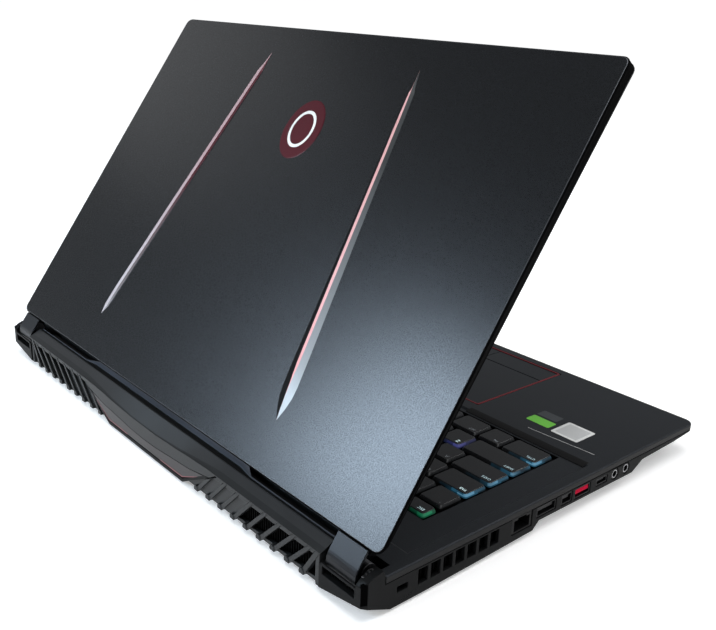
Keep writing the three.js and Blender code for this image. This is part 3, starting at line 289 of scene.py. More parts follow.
class Piece:
    """One visible piece, gathered in millimetres from bevelled solids of several materials."""

    def __init__(self, name):
        self.name = name
        self.verts, self.faces, self.slots, self.materials = [], [], [], []

    def take(self, bm, material, transform=None):
        """Adds a mesh; the material is a name, or a function of a face's centre that gives one."""
        start = len(self.verts)
        bm.verts.index_update()
        for v in bm.verts:
            self.verts.append(transform @ v.co if transform else v.co.copy())
        for f in bm.faces:
            self.faces.append([start + v.index for v in f.verts])
            self.slots.append(self.slot(material(f.calc_center_median()) if callable(material) else material))
        bm.free()

    def slot(self, material):
        if material not in self.materials:
            self.materials.append(material)
        return self.materials.index(material)

    def solid(self, rings, material, bevel=0.0):
        """A closed body through rings of points, each ring with the same count."""
        bm = bmesh.new()
        layers = [[bm.verts.new(p) for p in ring] for ring in rings]
        bridge(bm, layers)
        bm.faces.new(list(reversed(layers[0])))
        bm.faces.new(layers[-1])
        bmesh.ops.recalc_face_normals(bm, faces=bm.faces)
        if bevel:
            edges = [e for e in bm.edges if len(e.link_faces) == 2 and e.calc_face_angle(0) > 25 * RAD]
            bmesh.ops.bevel(bm, geom=edges, offset=bevel, segments=2, profile=0.5, affect="EDGES",
                            clamp_overlap=True)
        self.take(bm, material)

    def loop(self, rings, material):
        """A hollow frame through rings of points, the last of which joins the first."""
        bm = bmesh.new()
        layers = [[bm.verts.new(p) for p in ring] for ring in rings]
        bridge(bm, [*layers, layers[0]])
        bmesh.ops.recalc_face_normals(bm, faces=bm.faces)
        self.take(bm, material)

    def prism(self, axis, points, low, high, material, bevel=0.0):
        """An outline of points across an axis, extruded along it."""
        place = {
            "x": lambda a, b, t: (t, a, b), "y": lambda a, b, t: (a, t, b), "z": lambda a, b, t: (a, b, t),
        }[axis]
        self.solid([[place(a, b, t) for a, b in points] for t in (low, high)], material, bevel)

    def box(self, x, y, z, material, bevel=0.0):
        self.prism("z", [(x[0], y[0]), (x[1], y[0]), (x[1], y[1]), (x[0], y[1])], z[0], z[1], material, bevel)

    def disc(self, centre, radius, low, high, material, bevel=0.0):
        """An upright round body with 24 sides."""
        self.prism("z", arc(centre, radius, 0, 345, 23), low, high, material, bevel)

    def strips(self, sections, materials):
        """A closed body through sections, each long side with a material of its own."""
        start = len(self.verts)
        count = len(sections[0])
        for section in sections:
            self.verts.extend(Vector(p) for p in section)
        for s in range(len(sections) - 1):
            for i in range(count):
                j = (i + 1) % count
                a, b = start + s * count, start + (s + 1) * count
                self.faces.append([a + i, a + j, b + j, b + i])
                self.slots.append(self.slot(materials[i]))
        last = start + (len(sections) - 1) * count
        for ring in ([start + i for i in reversed(range(count))], [last + i for i in range(count)]):
            self.faces.append(ring)
            self.slots.append(self.slot(materials[0]))

    def finish(self, body, replaces=(), sharp=35.0, matrix=None):
        mesh = bpy.data.meshes.new(self.name)
        mesh.from_pydata([v * MM for v in self.verts], [], self.faces)
        for material in self.materials:
            mesh.materials.append(MAT[material])
        mesh.polygons.foreach_set("material_index", self.slots)
        outward = bmesh.new()
        outward.from_mesh(mesh)
        bmesh.ops.recalc_face_normals(outward, faces=outward.faces)
        outward.to_mesh(mesh)
        outward.free()
        obj = bpy.data.objects.new(self.name, mesh)
        SCENE.collection.objects.link(obj)
        if matrix:
            mesh.transform(matrix)
        mesh.polygons.foreach_set("use_smooth", [True] * len(mesh.polygons))
        mesh.set_sharp_from_angle(angle=sharp * RAD)
        normals = obj.modifiers.new("normals", "WEIGHTED_NORMAL")
        normals.keep_sharp = True
        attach(obj, body)
        if replaces:
            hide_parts(*replaces)
        return obj


def arc(centre, radius, start, end, steps):
    angles = [(start + (end - start) * i / steps) * RAD for i in range(steps + 1)]
    return [(centre[0] + radius * math.cos(a), centre[1] + radius * math.sin(a)) for a in angles]


def round_rect(x, y, radius, steps=5):
    return [*arc((x[1] - radius, y[0] + radius), radius, -90, 0, steps),
            *arc((x[1] - radius, y[1] - radius), radius, 0, 90, steps),
            *arc((x[0] + radius, y[1] - radius), radius, 90, 180, steps),
            *arc((x[0] + radius, y[0] + radius), radius, 180, 270, steps)]


def divided(outline):
    """The outline with each of its long edges along Y cut into ten."""
    points = []
    for (x0, y0), (x1, y1) in zip(outline, outline[1:] + outline[:1]):
        parts = 10 if abs(y1 - y0) > 50 else 1
        points += [(x0 + (x1 - x0) * i / parts, y0 + (y1 - y0) * i / parts) for i in range(parts)]
    return points


def raised(points, z):
    return [(x, y, z) for x, y in points]


# The lid is built closed and turned open about the hinge axis.
LID_TURN = (Matrix.Translation((0, HINGE[0] * MM, HINGE[1] * MM)) @ Matrix.Rotation(-LID_OPEN * RAD, 4, "X")
            @ Matrix.Translation((0, -HINGE[0] * MM, -HINGE[1] * MM)))


def dress(node, material, width):
    """A CAD node that is kept: faces merged, edges rounded, and a procedural material."""
    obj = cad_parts[node]
    obj.data.materials.clear()
    obj.data.materials.append(MAT[material])
    weld = obj.modifiers.new("weld", "WELD")
    weld.merge_threshold = 0.000002
    merge = obj.modifiers.new("merge", "DECIMATE")
    merge.decimate_type = "DISSOLVE"
    merge.angle_limit = 0.5 * RAD
    bevel = obj.modifiers.new("bevel", "BEVEL")
    bevel.width = width * MM
    bevel.segments = 2
    bevel.limit_method = "ANGLE"
    bevel.angle_limit = 30 * RAD
    bevel.use_clamp_overlap = False
    bevel.harden_normals = True


# CAD node, material, width of its rounded edges.
KEPT = [
    ("bottom_cover", "black", 0.3), ("palmrest_cover", "deck", 0.25),
    ("rear_grille_left", "rib", 0.3), ("rear_grille_right", "rib", 0.3),
    ("keyboard_plate", "inner", 0.2), ("touchpad", "deck", 0.15), ("touchpad_trim", "red", 0.2),
    ("touch_button_left", "deck", 0.2), ("touch_button_right", "deck", 0.2), ("power_button", "black", 0.2),
    ("hinge_base_left", "hinge", 0.2), ("hinge_base_right", "hinge", 0.2), ("hinge_arm_left", "hinge", 0.2),
    ("hinge_arm_right", "hinge", 0.2), ("hinge_cover_left", "cover", 0.25),
    ("hinge_cover_right", "cover", 0.25),
    ("foot_rear_left", "rubber", 0.3), ("foot_rear_right", "rubber", 0.3), ("foot_front_left", "rubber", 0.4),
    ("foot_front_right", "rubber", 0.4), ("motherboard", "board", 0.1),
    ("heat_pipe_assembly", "copper", 0.15),
    ("fan_housing_left", "inner", 0.2), ("fan_housing_right", "inner", 0.2), ("fan_rotor_left", "inner", 0.1),
    ("fan_rotor_right", "inner", 0.1), ("battery", "battery", 0.4), ("speaker_left", "inner", 0.4),
    ("speaker_right", "inner", 0.4), ("ssd", "board", 0.1), ("memory_module", "board", 0.1),
    ("ethernet_socket", "inner", 0.2), ("hdmi_socket", "port", 0.12), ("mini_display_socket", "port", 0.12),
    ("usb_a_socket_left", "port", 0.12), ("usb_c_socket", "port", 0.1), ("microphone_jack", "port", 0.12),
    ("headphone_jack", "port", 0.12), ("dc_inlet_socket", "inner", 0.15),
    ("usb_a_socket_right_1", "steel", 0.12),
    ("usb_a_socket_right_2", "steel", 0.12), ("card_reader_socket", "inner", 0.12),
    ("lcd_panel", "glass", 0.1), ("webcam_module", "glass", 0.1),
]
for node, material, width in KEPT:
    dress(node, material, width)


# ---- lid -----------------------------------------------------------------------------------------
def lid_outline(inset):
    return round_rect((-HALF_W + inset, HALF_W - inset), (LID_FRONT + inset, LID_REAR - inset), 5 - inset)


def shell_lean(u):
    """How far the shell's side edge leans inwards, from 0 at the front to 1 at the hinge end."""
    return 2.9 * max(0.0, u) ** 1.5


def border_lean(u):
    return shell_lean(u) + min(1.1, 2.5 * max(0.0, u))


def leaning(inset, lean):
    """The lid's outline with its long side edges drawn in more and more towards the hinge."""
    return [(x - math.copysign(lean((y - LID_FRONT) / (LID_REAR - LID_FRONT)), x), y)
            for x, y in divided(lid_outline(inset))]


def make_lid():
    """A black frame with a thin bright plate on it, and the necks that close the slits over the hinges; the
    chamfer round the plate is painted light as a highlight line.
    """
    shell = Piece("lid_shell")
    low, high = 22.3, 26.05
    outer, hollow = divided(lid_outline(0.15)), divided(lid_outline(4.4))
    shell.loop([raised(leaning(0.15, shell_lean), low), raised(outer, high), raised(hollow, high),
                raised(hollow, low)], "lid_rear")
    for side in (-1, 1):
        shell.box(sorted((side * 170.0, side * 192.0)), (112.6, 115.6), (22.4, 26.1), "lid_rear")
    levels = [(0.25, 26.0), (0.0, 26.25), (0.0, 26.6), (0.12, 26.75), (0.75, 27.35), (1.0, LID_TOP)]
    # The chamfer band round the plate takes the light edge material: a painted highlight line.
    shell.solid([raised(lid_outline(inset), z) for inset, z in levels],
                lambda centre: "lid" if centre.z > 27.49 else "lid_edge_painted_highlight" if centre.z > 27.3 else "lid_rear")
    shell.finish("lid", ["lid_back_cover"], sharp=50, matrix=LID_TURN)


def make_screen_border():
    """The border round the screen with its camera lens, and four rubber pads on it."""
    border = Piece("screen_border")
    window = divided(round_rect((-191.2, 191.2), (-126.75, 88.35), 0.4))
    border.loop([raised(leaning(0.0, shell_lean), LID_RIM),
                 raised(leaning(0.05, border_lean), LID_FACE + 0.45),
                 raised(leaning(0.5, border_lean), LID_FACE), raised(window, LID_FACE),
                 raised(window, LID_RIM)],
                "bezel")
    border.disc((0, LID_FRONT + 4.6), 1.9, LID_FACE - 0.03, LID_FACE + 0.3, "glass", 0.03)
    border.finish("lid", ["screen_bezel"], sharp=30, matrix=LID_TURN)
    pads = Piece("screen_bumpers")
    outlines = [round_rect((x - 9.0, x + 9.0), (LID_FRONT + 2.6, LID_FRONT + 5.2), 1.2, 4)
                for x in (-128.0, 128.0)]
    outlines += [round_rect(sorted((side * 192.6, side * 194.6)), (-20.0, -6.0), 0.9, 4) for side in (-1, 1)]
    for outline in outlines:
        pads.prism("z", outline, LID_FACE - 0.35, LID_FACE + 0.2, "rubber", 0.12)
    pads.finish("lid", matrix=LID_TURN)


# Places across the lid and along it from its rear edge.
RIDGE_FOOT, RIDGE_TIP = (100.0, 27.0), (71.0, 230.0)
# Along the blade: place, half width, height, half width of the bright strip on top.
RIDGE_STATIONS = [
    (0.0, 0.2, 0.05, 0.02), (0.03, 2.7, 0.45, 0.03), (0.06, 4.4, 0.8, 0.05), (0.09, 4.9, 1.0, 0.15),
    (0.15, 4.9, 1.1, 0.95), (0.35, 4.3, 1.1, 1.05), (0.6, 3.7, 1.05, 1.05), (0.85, 3.2, 1.0, 0.95),
    (0.93, 2.7, 0.9, 0.6), (0.945, 1.7, 0.6, 0.05), (0.97, 0.9, 0.35, 0.03), (1.0, 0.15, 0.05, 0.02),
]
# Facet, strip and facet materials of each blade: painted lit and shaded sides.
RIDGE_FACETS = {-1: ("ridge_lit_facet_painted", "ridge_red_painted_sheen", "ridge_shaded_facet_painted"), 1: ("ridge_plum_painted_light_shade", "ridge_pale_painted_highlight", "ridge_plum_painted_light_shade")}


def make_ridge(side):
    """A long blade: two slanted facets and a strip on top, coloured as painted highlight and shade; the one
    on the user's right is narrower.
    """
    (x0, s0), (x1, s1) = RIDGE_FOOT, RIDGE_TIP
    along = Vector((x1 - x0, s1 - s0)).normalized()
    sections = []
    for t, half, high, strip in RIDGE_STATIONS:
        half *= 1 + 0.12 * max(0.0, min(1.0, (0.65 - t) / 0.35))
        if side > 0:
            strip = max(1.5 * strip, min(1.5, 0.6 * half))
            half = min(half, strip + 0.9)
        x, y = x0 + (x1 - x0) * t, LID_REAR - s0 - (s1 - s0) * t
        profile = [(half, -0.25), (half, 0.02), (strip, high), (-strip, high), (-half, 0.02), (-half, -0.25)]
        ring = [(side * (x + a * along.y), y + a * along.x, LID_TOP + z) for a, z in profile]
        sections.append(ring if side < 0 else ring[::-1])
    order = ["lid", *RIDGE_FACETS[side], "lid", "lid"]
    name = "right" if side > 0 else "left"
    ridge = Piece("lid_ridge_blade_" + name)
    ridge.strips(sections, order if side < 0 else [order[(4 - i) % 6] for i in range(6)])
    ridge.finish("lid", ["lid_ridge_" + name], sharp=8, matrix=LID_TURN)


def make_badge():
    """A plain oval with a plain ring on it."""
    def oval(a, b, z):
        return [(x * a, LID_REAR - 182.0 + y * b, z) for x, y in arc((0, 0), 1, 0, 350, 35)]

    badge = Piece("lid_badge_plain")
    badge.solid([oval(17.0, 20.0, 27.2), oval(17.0, 20.0, 27.55), oval(16.3, 19.3, 27.9)], "red_dark")
    badge.strips([oval(10.8, 12.6, 27.85), oval(10.8, 12.6, 27.96), oval(10.6, 12.4, 28.0),
                  oval(9.0, 10.7, 28.0), oval(8.8, 10.5, 27.96), oval(8.8, 10.5, 27.85)],
                 ["label_white"] * 36)
    badge.finish("lid", ["lid_badge"], sharp=40, matrix=LID_TURN)


make_lid()
make_screen_border()
make_ridge(1)
make_ridge(-1)
make_badge()


# ---- keyboard ------------------------------------------------------------------------------------
def row_y(row):
    return BOTTOM_ROW + row * PITCH_Y


ONE = [1.0]
KEY_EDGE = 1.1      # from a key's cell to its cap
# Piece, node, place along Y, depth, first unit, widths in units, legends.
KEY_ROWS = [
    ("keys_function", "key_row_function", row_y(5) - 3.2, 9.8, 0, ONE * 19,
     ["ESC", *[f"F{i}" for i in range(1, 13)], "PRT", "SCR", "INS", "DEL", "+", "-"]),
    ("keys_numbers", "key_row_numbers", row_y(4), 16.1, 0, ONE * 13 + [2.0], [*"`1234567890-=", "BACK"]),
    ("keys_tab", "key_row_tab", row_y(3), 16.1, 0, [1.5] + ONE * 12 + [1.5], ["TAB", *"QWERTYUIOP[]", "\\"]),
    ("keys_caps", "key_row_caps", row_y(2), 16.1, 0, [1.75] + ONE * 11 + [2.25],
     ["CAPS", *"ASDFGHJKL;'", "ENTER"]),
    ("keys_shift", "key_row_shift", row_y(1), 16.1, 0, [2.25] + ONE * 10 + [1.75, 1.0],
     ["SHIFT", *"ZXCVBNM,./", "SHIFT", "^"]),
    ("keys_front_left", "key_row_bottom_left", row_y(0), 16.1, 0, [1.5, 1.0, 1.25], ["CTRL", "FN", "ALT"]),
    ("keys_space", "space_bar", row_y(0), 16.1, 3.75, [5.25], [""]),
    ("keys_front_right", "key_row_bottom_right", row_y(0), 16.1, 9, ONE * 6,
     ["ALT", "\\", "CTRL", "<", "v", ">"]),
]
# Column, row, width and height in units, legend.
NUMBER_PAD = [
    (0, 0, 2, 1, "0"), (2, 0, 1, 1, "."), (0, 1, 1, 1, "1"), (1, 1, 1, 1, "2"), (2, 1, 1, 1, "3"),
    (0, 2, 1, 1, "4"), (1, 2, 1, 1, "5"), (2, 2, 1, 1, "6"), (0, 3, 1, 1, "7"), (1, 3, 1, 1, "8"),
    (2, 3, 1, 1, "9"), (0, 4, 1, 1, "NUM"), (1, 4, 1, 1, "/"), (2, 4, 1, 1, "*"), (3, 4, 1, 1, "-"),
    (3, 0, 1, 2, "ENT"), (3, 2, 1, 2, "+"),
]
LIT = {"ESC": "green", "TAB": "cyan", "CAPS": "cyan", "SHIFT": "cyan", "CTRL": "cyan", "Z": "blue"}


def key_outline(x, y, inset):
    """A rounded rectangle with its long sides cut into short pieces."""
    corners = round_rect((x[0] + inset, x[1] - inset), (y[0] + inset, y[1] - inset), 1.5, 3)
    points = []
    for (ax, ay), (bx, by) in zip(corners, [*corners[1:], corners[0]]):
        count = 5 if max(x[1] - x[0], y[1] - y[0]) > 8 and math.hypot(bx - ax, by - ay) > 3 else 1
        points += [(ax + (bx - ax) * i / count, ay + (by - ay) * i / count) for i in range(count)]
    return points


def key_cap(piece, x, y, label, lit):
    """A dark cap on a translucent skirt; the light under it is strongest at its outer rear corner, and the
    lower band of an unlit skirt is painted near black as shade between keys.
    """
    skirt = [(0.0, 17.6), (0.05, 18.4), (0.3, 19.0), (0.62, 19.72)]
    cap = [(0.6, 19.65), (0.72, 19.95), (0.95, 20.1), (1.35, 20.17)]

    def shade(centre):
        # An unlit key's skirt is near black below its upper band: painted shade in the gap between the keys.
        if not lit:
            return "skirt" if centre.z > 18.6 else "inner"
        below = 3.0 if centre.z < 18.6 else 0.0
        reach = max(0, centre.x - x[0]) * 0.75 + max(0, y[1] - centre.y) * 0.42 + below
        color = LIT[label]
        steps = ((3.0, color), (7.0, color + "_soft"), (13.0, color + "_faint"))
        return next((name for limit, name in steps if reach < limit), "skirt")

    # The rim round each cap top takes the lighter material: a painted highlight.
    def top(centre):
        return "key" if centre.z > 20.12 else "key_rim_painted_highlight"

    for rings, material in ((skirt, shade), (cap, top)):
        piece.solid([[(a, b, z) for a, b in key_outline(x, y, inset)] for inset, z in rings], material)
    if label:
        size = 2.6 if len(label) > 1 else 3.6
        legend(piece, label, (x[0] + 2.4, y[1] - 2.2 - size * 0.72, 20.16), size,
               "legend" if lit else "legend_dim")


def legend(piece, text, place, size, material):
    """A short word or sign on a key, a hair above it."""
    curve = bpy.data.curves.new("legend", "FONT")
    curve.body = text
    curve.size = size
    curve.extrude = 0.015
    curve.resolution_u = 2
    holder = bpy.data.objects.new("legend", curve)
    SCENE.collection.objects.link(holder)
    bpy.context.view_layer.update()
    mesh = holder.evaluated_get(bpy.context.evaluated_depsgraph_get()).to_mesh()
    bm = bmesh.new()
    bm.from_mesh(mesh)
    bmesh.ops.remove_doubles(bm, verts=bm.verts, dist=0.001)
    piece.take(bm, material, Matrix.Translation(place))
    bpy.data.objects.remove(holder)
    bpy.data.curves.remove(curve)


def make_keys():
    for name, node, y, depth, unit, widths, labels in KEY_ROWS:
        piece = Piece(name)
        for width, label in zip(widths, labels):
            x = (KEYS_LEFT + unit * PITCH_X + KEY_EDGE, KEYS_LEFT + (unit + width) * PITCH_X - KEY_EDGE)
            key_cap(piece, x, (y - depth / 2, y + depth / 2), label, label in LIT and x[0] < -100)
            unit += width
        piece.finish(node + "_body", [node])
    pad = Piece("keys_number_pad")
    for column, row, width, height, label in NUMBER_PAD:
        x = KEYS_LEFT + (15 + column) * PITCH_X
        y = row_y(row) - PITCH_Y / 2
        key_cap(pad, (x + KEY_EDGE, x + width * PITCH_X - KEY_EDGE),
                (y + KEY_EDGE, y + height * PITCH_Y - KEY_EDGE),
                label, False)
    pad.finish("number_pad_body", ["number_pad"])


make_keys()


# ---- small parts of the base ---------------------------------------------------------------------
def comb(piece, side, first, count, width, y, z):
    """A row of thin upright plates along X."""
    for i in range(count):
        x = side * (first + i * 1.95)
        piece.box(sorted((x, x + side * width)), y, z, "fins")


def make_fins():
    """Thin plates behind the rear grilles, notch openings and side slots, and a near-black sheet behind them
    as painted shade inside the body.
    """
    for side, name in ((-1, "left"), (1, "right")):
        rear = Piece("rear_fins_" + name)
        comb(rear, side, 76.0, 46, 0.45, (128.2, 129.9), (4.6, 16.2))
        # Near-black sheet: painted shade behind the rear fins.
        rear.box(sorted((side * 76.0, side * 166.2)), (128.05, 128.3), (4.2, 16.2), "inner")
        rear.finish("base")
        notch = Piece("notch_fins_" + name)
        comb(notch, side, 171.5, 11, 0.4, (130.6, 131.5), (11.4, 15.3))
        # Near-black sheet: painted shade behind the notch fins.
        notch.box(sorted((side * 169.9, side * 193.0)), (130.2, 130.7), (11.25, 15.5), "inner")
        notch.finish("base")
        vents = Piece("side_fins_" + name)
        for slot in range(7):
            for offset in (-1.7, 0.0, 1.7):
                y = 98.6 - slot * 8.05 + offset
                vents.box(sorted((side * 190.5, side * 195.3)), (y - 0.2, y + 0.2), (7.3, 14.8), "fins")
        # Near-black sheet: painted shade behind the side slots.
        vents.box(sorted((side * 190.3, side * 191.0)), (44.0, 104.0), (7.25, 14.85), "inner")
        vents.finish("base")


# Blank labels on the palmrest: range along X and Y, corner radius, underside and top, material, rounding.
LABELS = [
    ((-148.0, -131.0), (-60.5, -52.0), 0.8, (19.95, 20.08), "label_green", 0.03),
    ((-146.0, -131.0), (-70.5, -62.5), 0.8, (19.95, 20.07), "label_dark", 0.03),
    ((-170.5, -151.0), (-69.5, -50.5), 1.2, (19.95, 20.08), "label_white", 0.03),
    ((-168.5, -153.0), (-67.5, -52.5), 0.8, (20.04, 20.10), "label_grey", 0.02),
]


def make_labels():
    """The labels, a thin printed line beside them, and a near-black wedge along the front of the keyboard,
    painted shade in the step down to the keys.
    """
    labels = Piece("deck_labels")
    for x, y, radius, heights, material, bevel in LABELS:
        labels.prism("z", round_rect(x, y, radius, 3), *heights, material, bevel)
    line = [(-186.0, -46.9), (-186.0, -46.5), (-140.0, -42.9), (-140.0, -43.3)]
    labels.prism("z", line, 19.95, 20.06, "label_grey")
    # A near-black wedge that paints the shade of the step in front of the keys.
    hollow = [(-36.2, 19.7), (-36.2, 20.02), (-33.4, 20.02), (-30.6, 19.3), (-30.6, 19.1)]
    labels.prism("x", hollow, -190.0, -100.5, "inner")
    labels.finish("base")


SCREWS = [(-160.0, 121.0), (0.0, 121.0), (160.0, 121.0), (-172.0, 30.0), (0.0, 40.0), (172.0, 30.0),
          (-172.0, -60.0), (0.0, -50.0), (172.0, -60.0), (-90.0, -120.0), (90.0, -120.0)]


def make_screws():
    """Screws half sunk into the underside, each with a near-black cross painted on as the shade in its
    recess.
    """
    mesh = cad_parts["bottom_cover"].data
    tray = BVHTree.FromPolygons([v.co for v in mesh.vertices], [list(f.vertices) for f in mesh.polygons])
    screws = Piece("bottom_screws")
    for x, y in SCREWS:
        z = tray.ray_cast((x * MM, y * MM, -10 * MM), (0, 0, 1))[0].z / MM
        screws.disc((x, y), 2.4, z - 0.3, z + 0.5, "screw", 0.15)
        # The cross is a near-black mark on the head: painted shade standing for its recess.
        for a, b in ((1.5, 0.3), (0.3, 1.5)):
            screws.box((x - a, x + a), (y - b, y + b), (z - 0.33, z), "void", 0.05)
    screws.finish("base")


def make_corner_details():
    """A near-black strip in each rear corner, painted shade that stands for the groove there, and the small
    metal ribs on the inner edge of the ear.
    """
    outline = [(198.42, 131.4), (196.95, 134.2), (196.2, 134.2), (196.2, 131.4)]
    for side, name in ((-1, "left"), (1, "right")):
        strip = Piece("corner_groove_shade_" + name)
        # Near-black strip: painted shade of the groove in the corner.
        strip.prism("z", [(side * x, y) for x, y in outline], 9.5, 20.4, "void", 0.15)
        strip.finish("base")
        ribs = Piece("ear_ribs_" + name)
        for y, z in ((125.6, 22.95), (127.3, 22.6), (129.0, 22.2), (130.7, 21.45)):
            ribs.box(sorted((side * 193.25, side * 194.6)), (y - 0.4, y + 0.4), (z - 0.6, z + 0.35),
                     "hinge", 0.1)
        ribs.finish("base")


# Half of the rear deck from the middle outwards: place along X, front of the rounded roll, crease (y, z),
# lower edge of the rear face, and how far back the solid under it reaches.
DECK_STATIONS = [
    (0.0, 117.3, 133.5, 18.2, 9.6, 133.2), (15.0, 117.3, 133.4, 18.3, 10.0, 133.2),
    (40.0, 117.3, 132.8, 19.5, 12.0, 133.2), (52.0, 117.3, 132.2, 20.4, 12.9, 133.2),
    (73.0, 117.3, 131.2, 21.9, 16.6, 133.2), (79.5, 117.3, 131.0, 22.2, 20.35, 129.0),
    (85.0, 117.3, 131.0, 22.3, 20.35, 129.0), (97.0, 123.6, 131.0, 22.3, 20.35, 129.0),
    (168.3, 123.7, 131.0, 22.3, 20.35, 129.0),
]


def deck_section(x, front, crease_y, crease_z, low, hollow):
    """The trough, the roll, a groove, the crest of the tail, its slope and its rear face; trough and groove
    are painted black as shade.
    """
    rear = 122.6 if front < 120 else 124.4
    rise = 0.8 if front < 120 else 0.1
    roll = [(front + (rear - front) * t, 24.4 + rise * h)
            for t, h in ((0.05, 0.45), (0.3, 0.85), (0.55, 1.0), (0.8, 0.75), (1.0, 0.2))]
    points = [(114.9, 16.3), (114.9, 18.0), (front - 0.6, 18.0), (front, 24.2), *roll, (rear + 0.2, 23.9),
              (max(125.2, rear + 0.4), 23.9), (126.3, 24.8), (126.9, 24.6), (crease_y, crease_z),
              (134.15, min(crease_z - 0.4, 20.9)), (134.15, low), (hollow, low), (hollow, 16.3)]
    return [(x, y, z) for y, z in points]


def make_rear_deck():
    deck = Piece("rear_deck_shell")
    stations = [(-s[0], *s[1:]) for s in reversed(DECK_STATIONS[1:])] + DECK_STATIONS
    # Near black on the trough and on the groove behind the roll is painted shade; the light roll is a painted
    # highlight.
    materials = (["inner"] * 3 + ["roll"] * 5 + ["inner"] * 3 + ["apron", "tail"] + ["apron"] * 2
                 + ["inner"] * 3)
    deck.strips([deck_section(*station) for station in stations], materials)
    deck.finish("base", ["rear_deck"], sharp=24)


def make_centre_trim():
    """The plate between the two grilles: low in the middle, wide at both ends, with a thin bright edge."""
    half = [(0.0, 3.9), (20.0, 4.0), (44.5, 4.2), (71.0, 15.7), (51.5, 12.5),
            (40.0, 11.6), (15.0, 9.6), (0.0, 9.2)]
    outline = [*half[:-1], *[(-x, z) for x, z in reversed(half[1:])]]
    edge = [(44.5, 4.2), (71.0, 15.7), (69.6, 15.45), (45.0, 5.0), (20.0, 4.7), (20.0, 4.0)]
    plate = Piece("centre_trim_plate")
    plate.prism("y", outline, 133.1, 134.1, "trim", 0.25)
    for side in (-1, 1):
        plate.prism("y", [(side * x, z) for x, z in edge], 133.9, 134.2, "trim_edge", 0.08)
    plate.finish("base", ["rear_centre_trim"])


def make_socket_details():
    """The bright rims of the two round sockets and the tongue of the red one, on the left side."""
    rims = Piece("socket_rims_left")
    back, face = -197.95, -198.3
    for y in (-50.2, -61.0):
        rings = [[(x, y + a, 12.2 + b) for a, b in round_rect((-half, half), (-half, half), half - 0.01, 4)]
                 for half, x in ((2.05, back), (2.35, back), (2.35, face), (2.05, face), (2.05, back))]
        rims.strips(rings, ["silver"] * 20)
    rims.finish("base")
    tongue = Piece("usb_tongue_red")
    tongue.box((-197.9, -186.0), (-26.0, -14.8), (11.5, 14.0), "red_plastic", 0.15)
    tongue.box((-197.7, -186.0), (-26.3, -14.5), (14.0, 14.35), "red_plastic")
    tongue.finish("base")


make_fins()
make_labels()
make_screws()
make_corner_details()
make_rear_deck()
make_centre_trim()
make_socket_details()


# ---- floor, light and camera ---------------------------------------------------------------------
def plain_object(name, verts, faces, material):
    """An object in the scene that is no piece of the laptop."""
    mesh = bpy.data.meshes.new(name)
    mesh.from_pydata(verts, [], faces)
    mesh.materials.append(material)
    obj = bpy.data.objects.new(name, mesh)
    SCENE.collection.objects.link(obj)
    return obj


def make_floor():
    """A pale floor that grows lighter away from the laptop."""
    n = Nodes("floor_pale")
    fac = n.noise(2.0, 3.0)
    n.set("Base Color", n.mix(n.spread(fac, 0.0, 1.0), rgba([0.88] * 3), rgba([0.93] * 3)))
    n.set("Roughness", 0.9)
    n.set("Specular IOR Level", 0.1)
    n.set("Emission Color", rgba([1.0] * 3))
    away = n.add("ShaderNodeVectorMath", {0: n.place()}, operation="LENGTH").outputs["Value"]
    n.set("Emission Strength", n.spread(away, 0.34, 0.80, 0.4, 2.2))
    half = 14
    corners = [(-half, -half, 0), (half, -half, 0), (half, half, 0), (-half, half, 0)]
    floor = plain_object("floor", corners, [(0, 1, 2, 3)], n.material)


def make_backdrop():
    """A white wall round the floor, seen by the camera only."""
    n = Nodes("backdrop_pale")
    n.set("Base Color", rgba([0.0] * 3))
    n.set("Emission Color", rgba([1.0] * 3))
    n.set("Emission Strength", 1.0)
    count = 36
    ring = arc((0, 0), 12.0, 0, 350, count - 1)
    faces = [(i, (i + 1) % count, count + (i + 1) % count, count + i) for i in range(count)]
    backdrop = plain_object("backdrop", raised(ring, -1.0) + raised(ring, 9.0), faces, n.material)
    backdrop.visible_diffuse = backdrop.visible_glossy = backdrop.visible_shadow = False


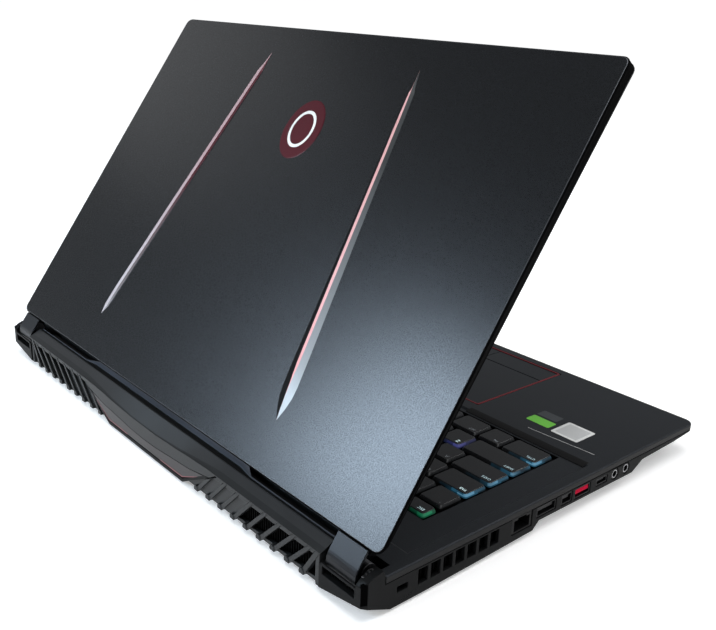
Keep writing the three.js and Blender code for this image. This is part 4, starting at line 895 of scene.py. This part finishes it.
# Name, place, target, size, energy, colour.
LIGHTS = [
    ("softbox_behind", (0.785, 1.15, 0.70), (-0.16, 0.10, 0.07), (0.38, 0.44), 15.0, (0.72, 0.87, 1.0)),
    ("top_corner", (1.9, 0.5, 1.1), (0.15, 0, 0.2), (0.7, 0.7), 1.0, (1, 1, 1)),
    ("overhead", (-0.3, 0.2, 1.9), (0, 0, 0), (1.6, 1.6), 24.0, (1, 1, 1)),
    ("side_fill", (-1.5, 0.1, 0.9), (-0.1, 0, 0.02), (1.0, 0.8), 3.0, (1, 1, 1)),
    ("front_edge", (-0.75, -1.1, 1.15), (-0.12, 0, 0.02), (0.7, 0.5), 6.0, (1, 1, 1)),
]


def make_light():
    SCENE.view_settings.view_transform = "Standard"
    SCENE.world = bpy.data.worlds.new("studio")
    SCENE.world.use_nodes = True
    background = SCENE.world.node_tree.nodes["Background"]
    background.inputs["Color"].default_value = (0.95, 0.97, 1.0, 1.0)
    background.inputs["Strength"].default_value = 0.27
    for name, place, target, size, energy, color in LIGHTS:
        light = bpy.data.lights.new(name, "AREA")
        light.shape = "RECTANGLE"
        light.size, light.size_y = size
        light.energy = energy
        light.color = color
        obj = bpy.data.objects.new(name, light)
        obj.location = place
        obj.rotation_euler = (Vector(target) - Vector(place)).to_track_quat("-Z", "Y").to_euler()
        SCENE.collection.objects.link(obj)


CAMERA_PLACE = (-0.437621, 0.345801, 0.252388)
CAMERA_TURN = (71.246291, -2.944952, -132.574483)   # degrees about X, Y and Z
CAMERA_LENS, CAMERA_SHIFT = 44.7503, (-0.066765, -0.003733)


def make_camera():
    camera = bpy.data.cameras.new("camera")
    camera.sensor_width = 36
    camera.lens = CAMERA_LENS
    camera.shift_x, camera.shift_y = CAMERA_SHIFT
    camera.clip_start, camera.clip_end = 0.01, 40
    obj = bpy.data.objects.new("camera", camera)
    obj.location = CAMERA_PLACE
    obj.rotation_euler = [angle * RAD for angle in CAMERA_TURN]
    SCENE.collection.objects.link(obj)
    SCENE.camera = obj


make_floor()
make_backdrop()
make_light()
make_camera()
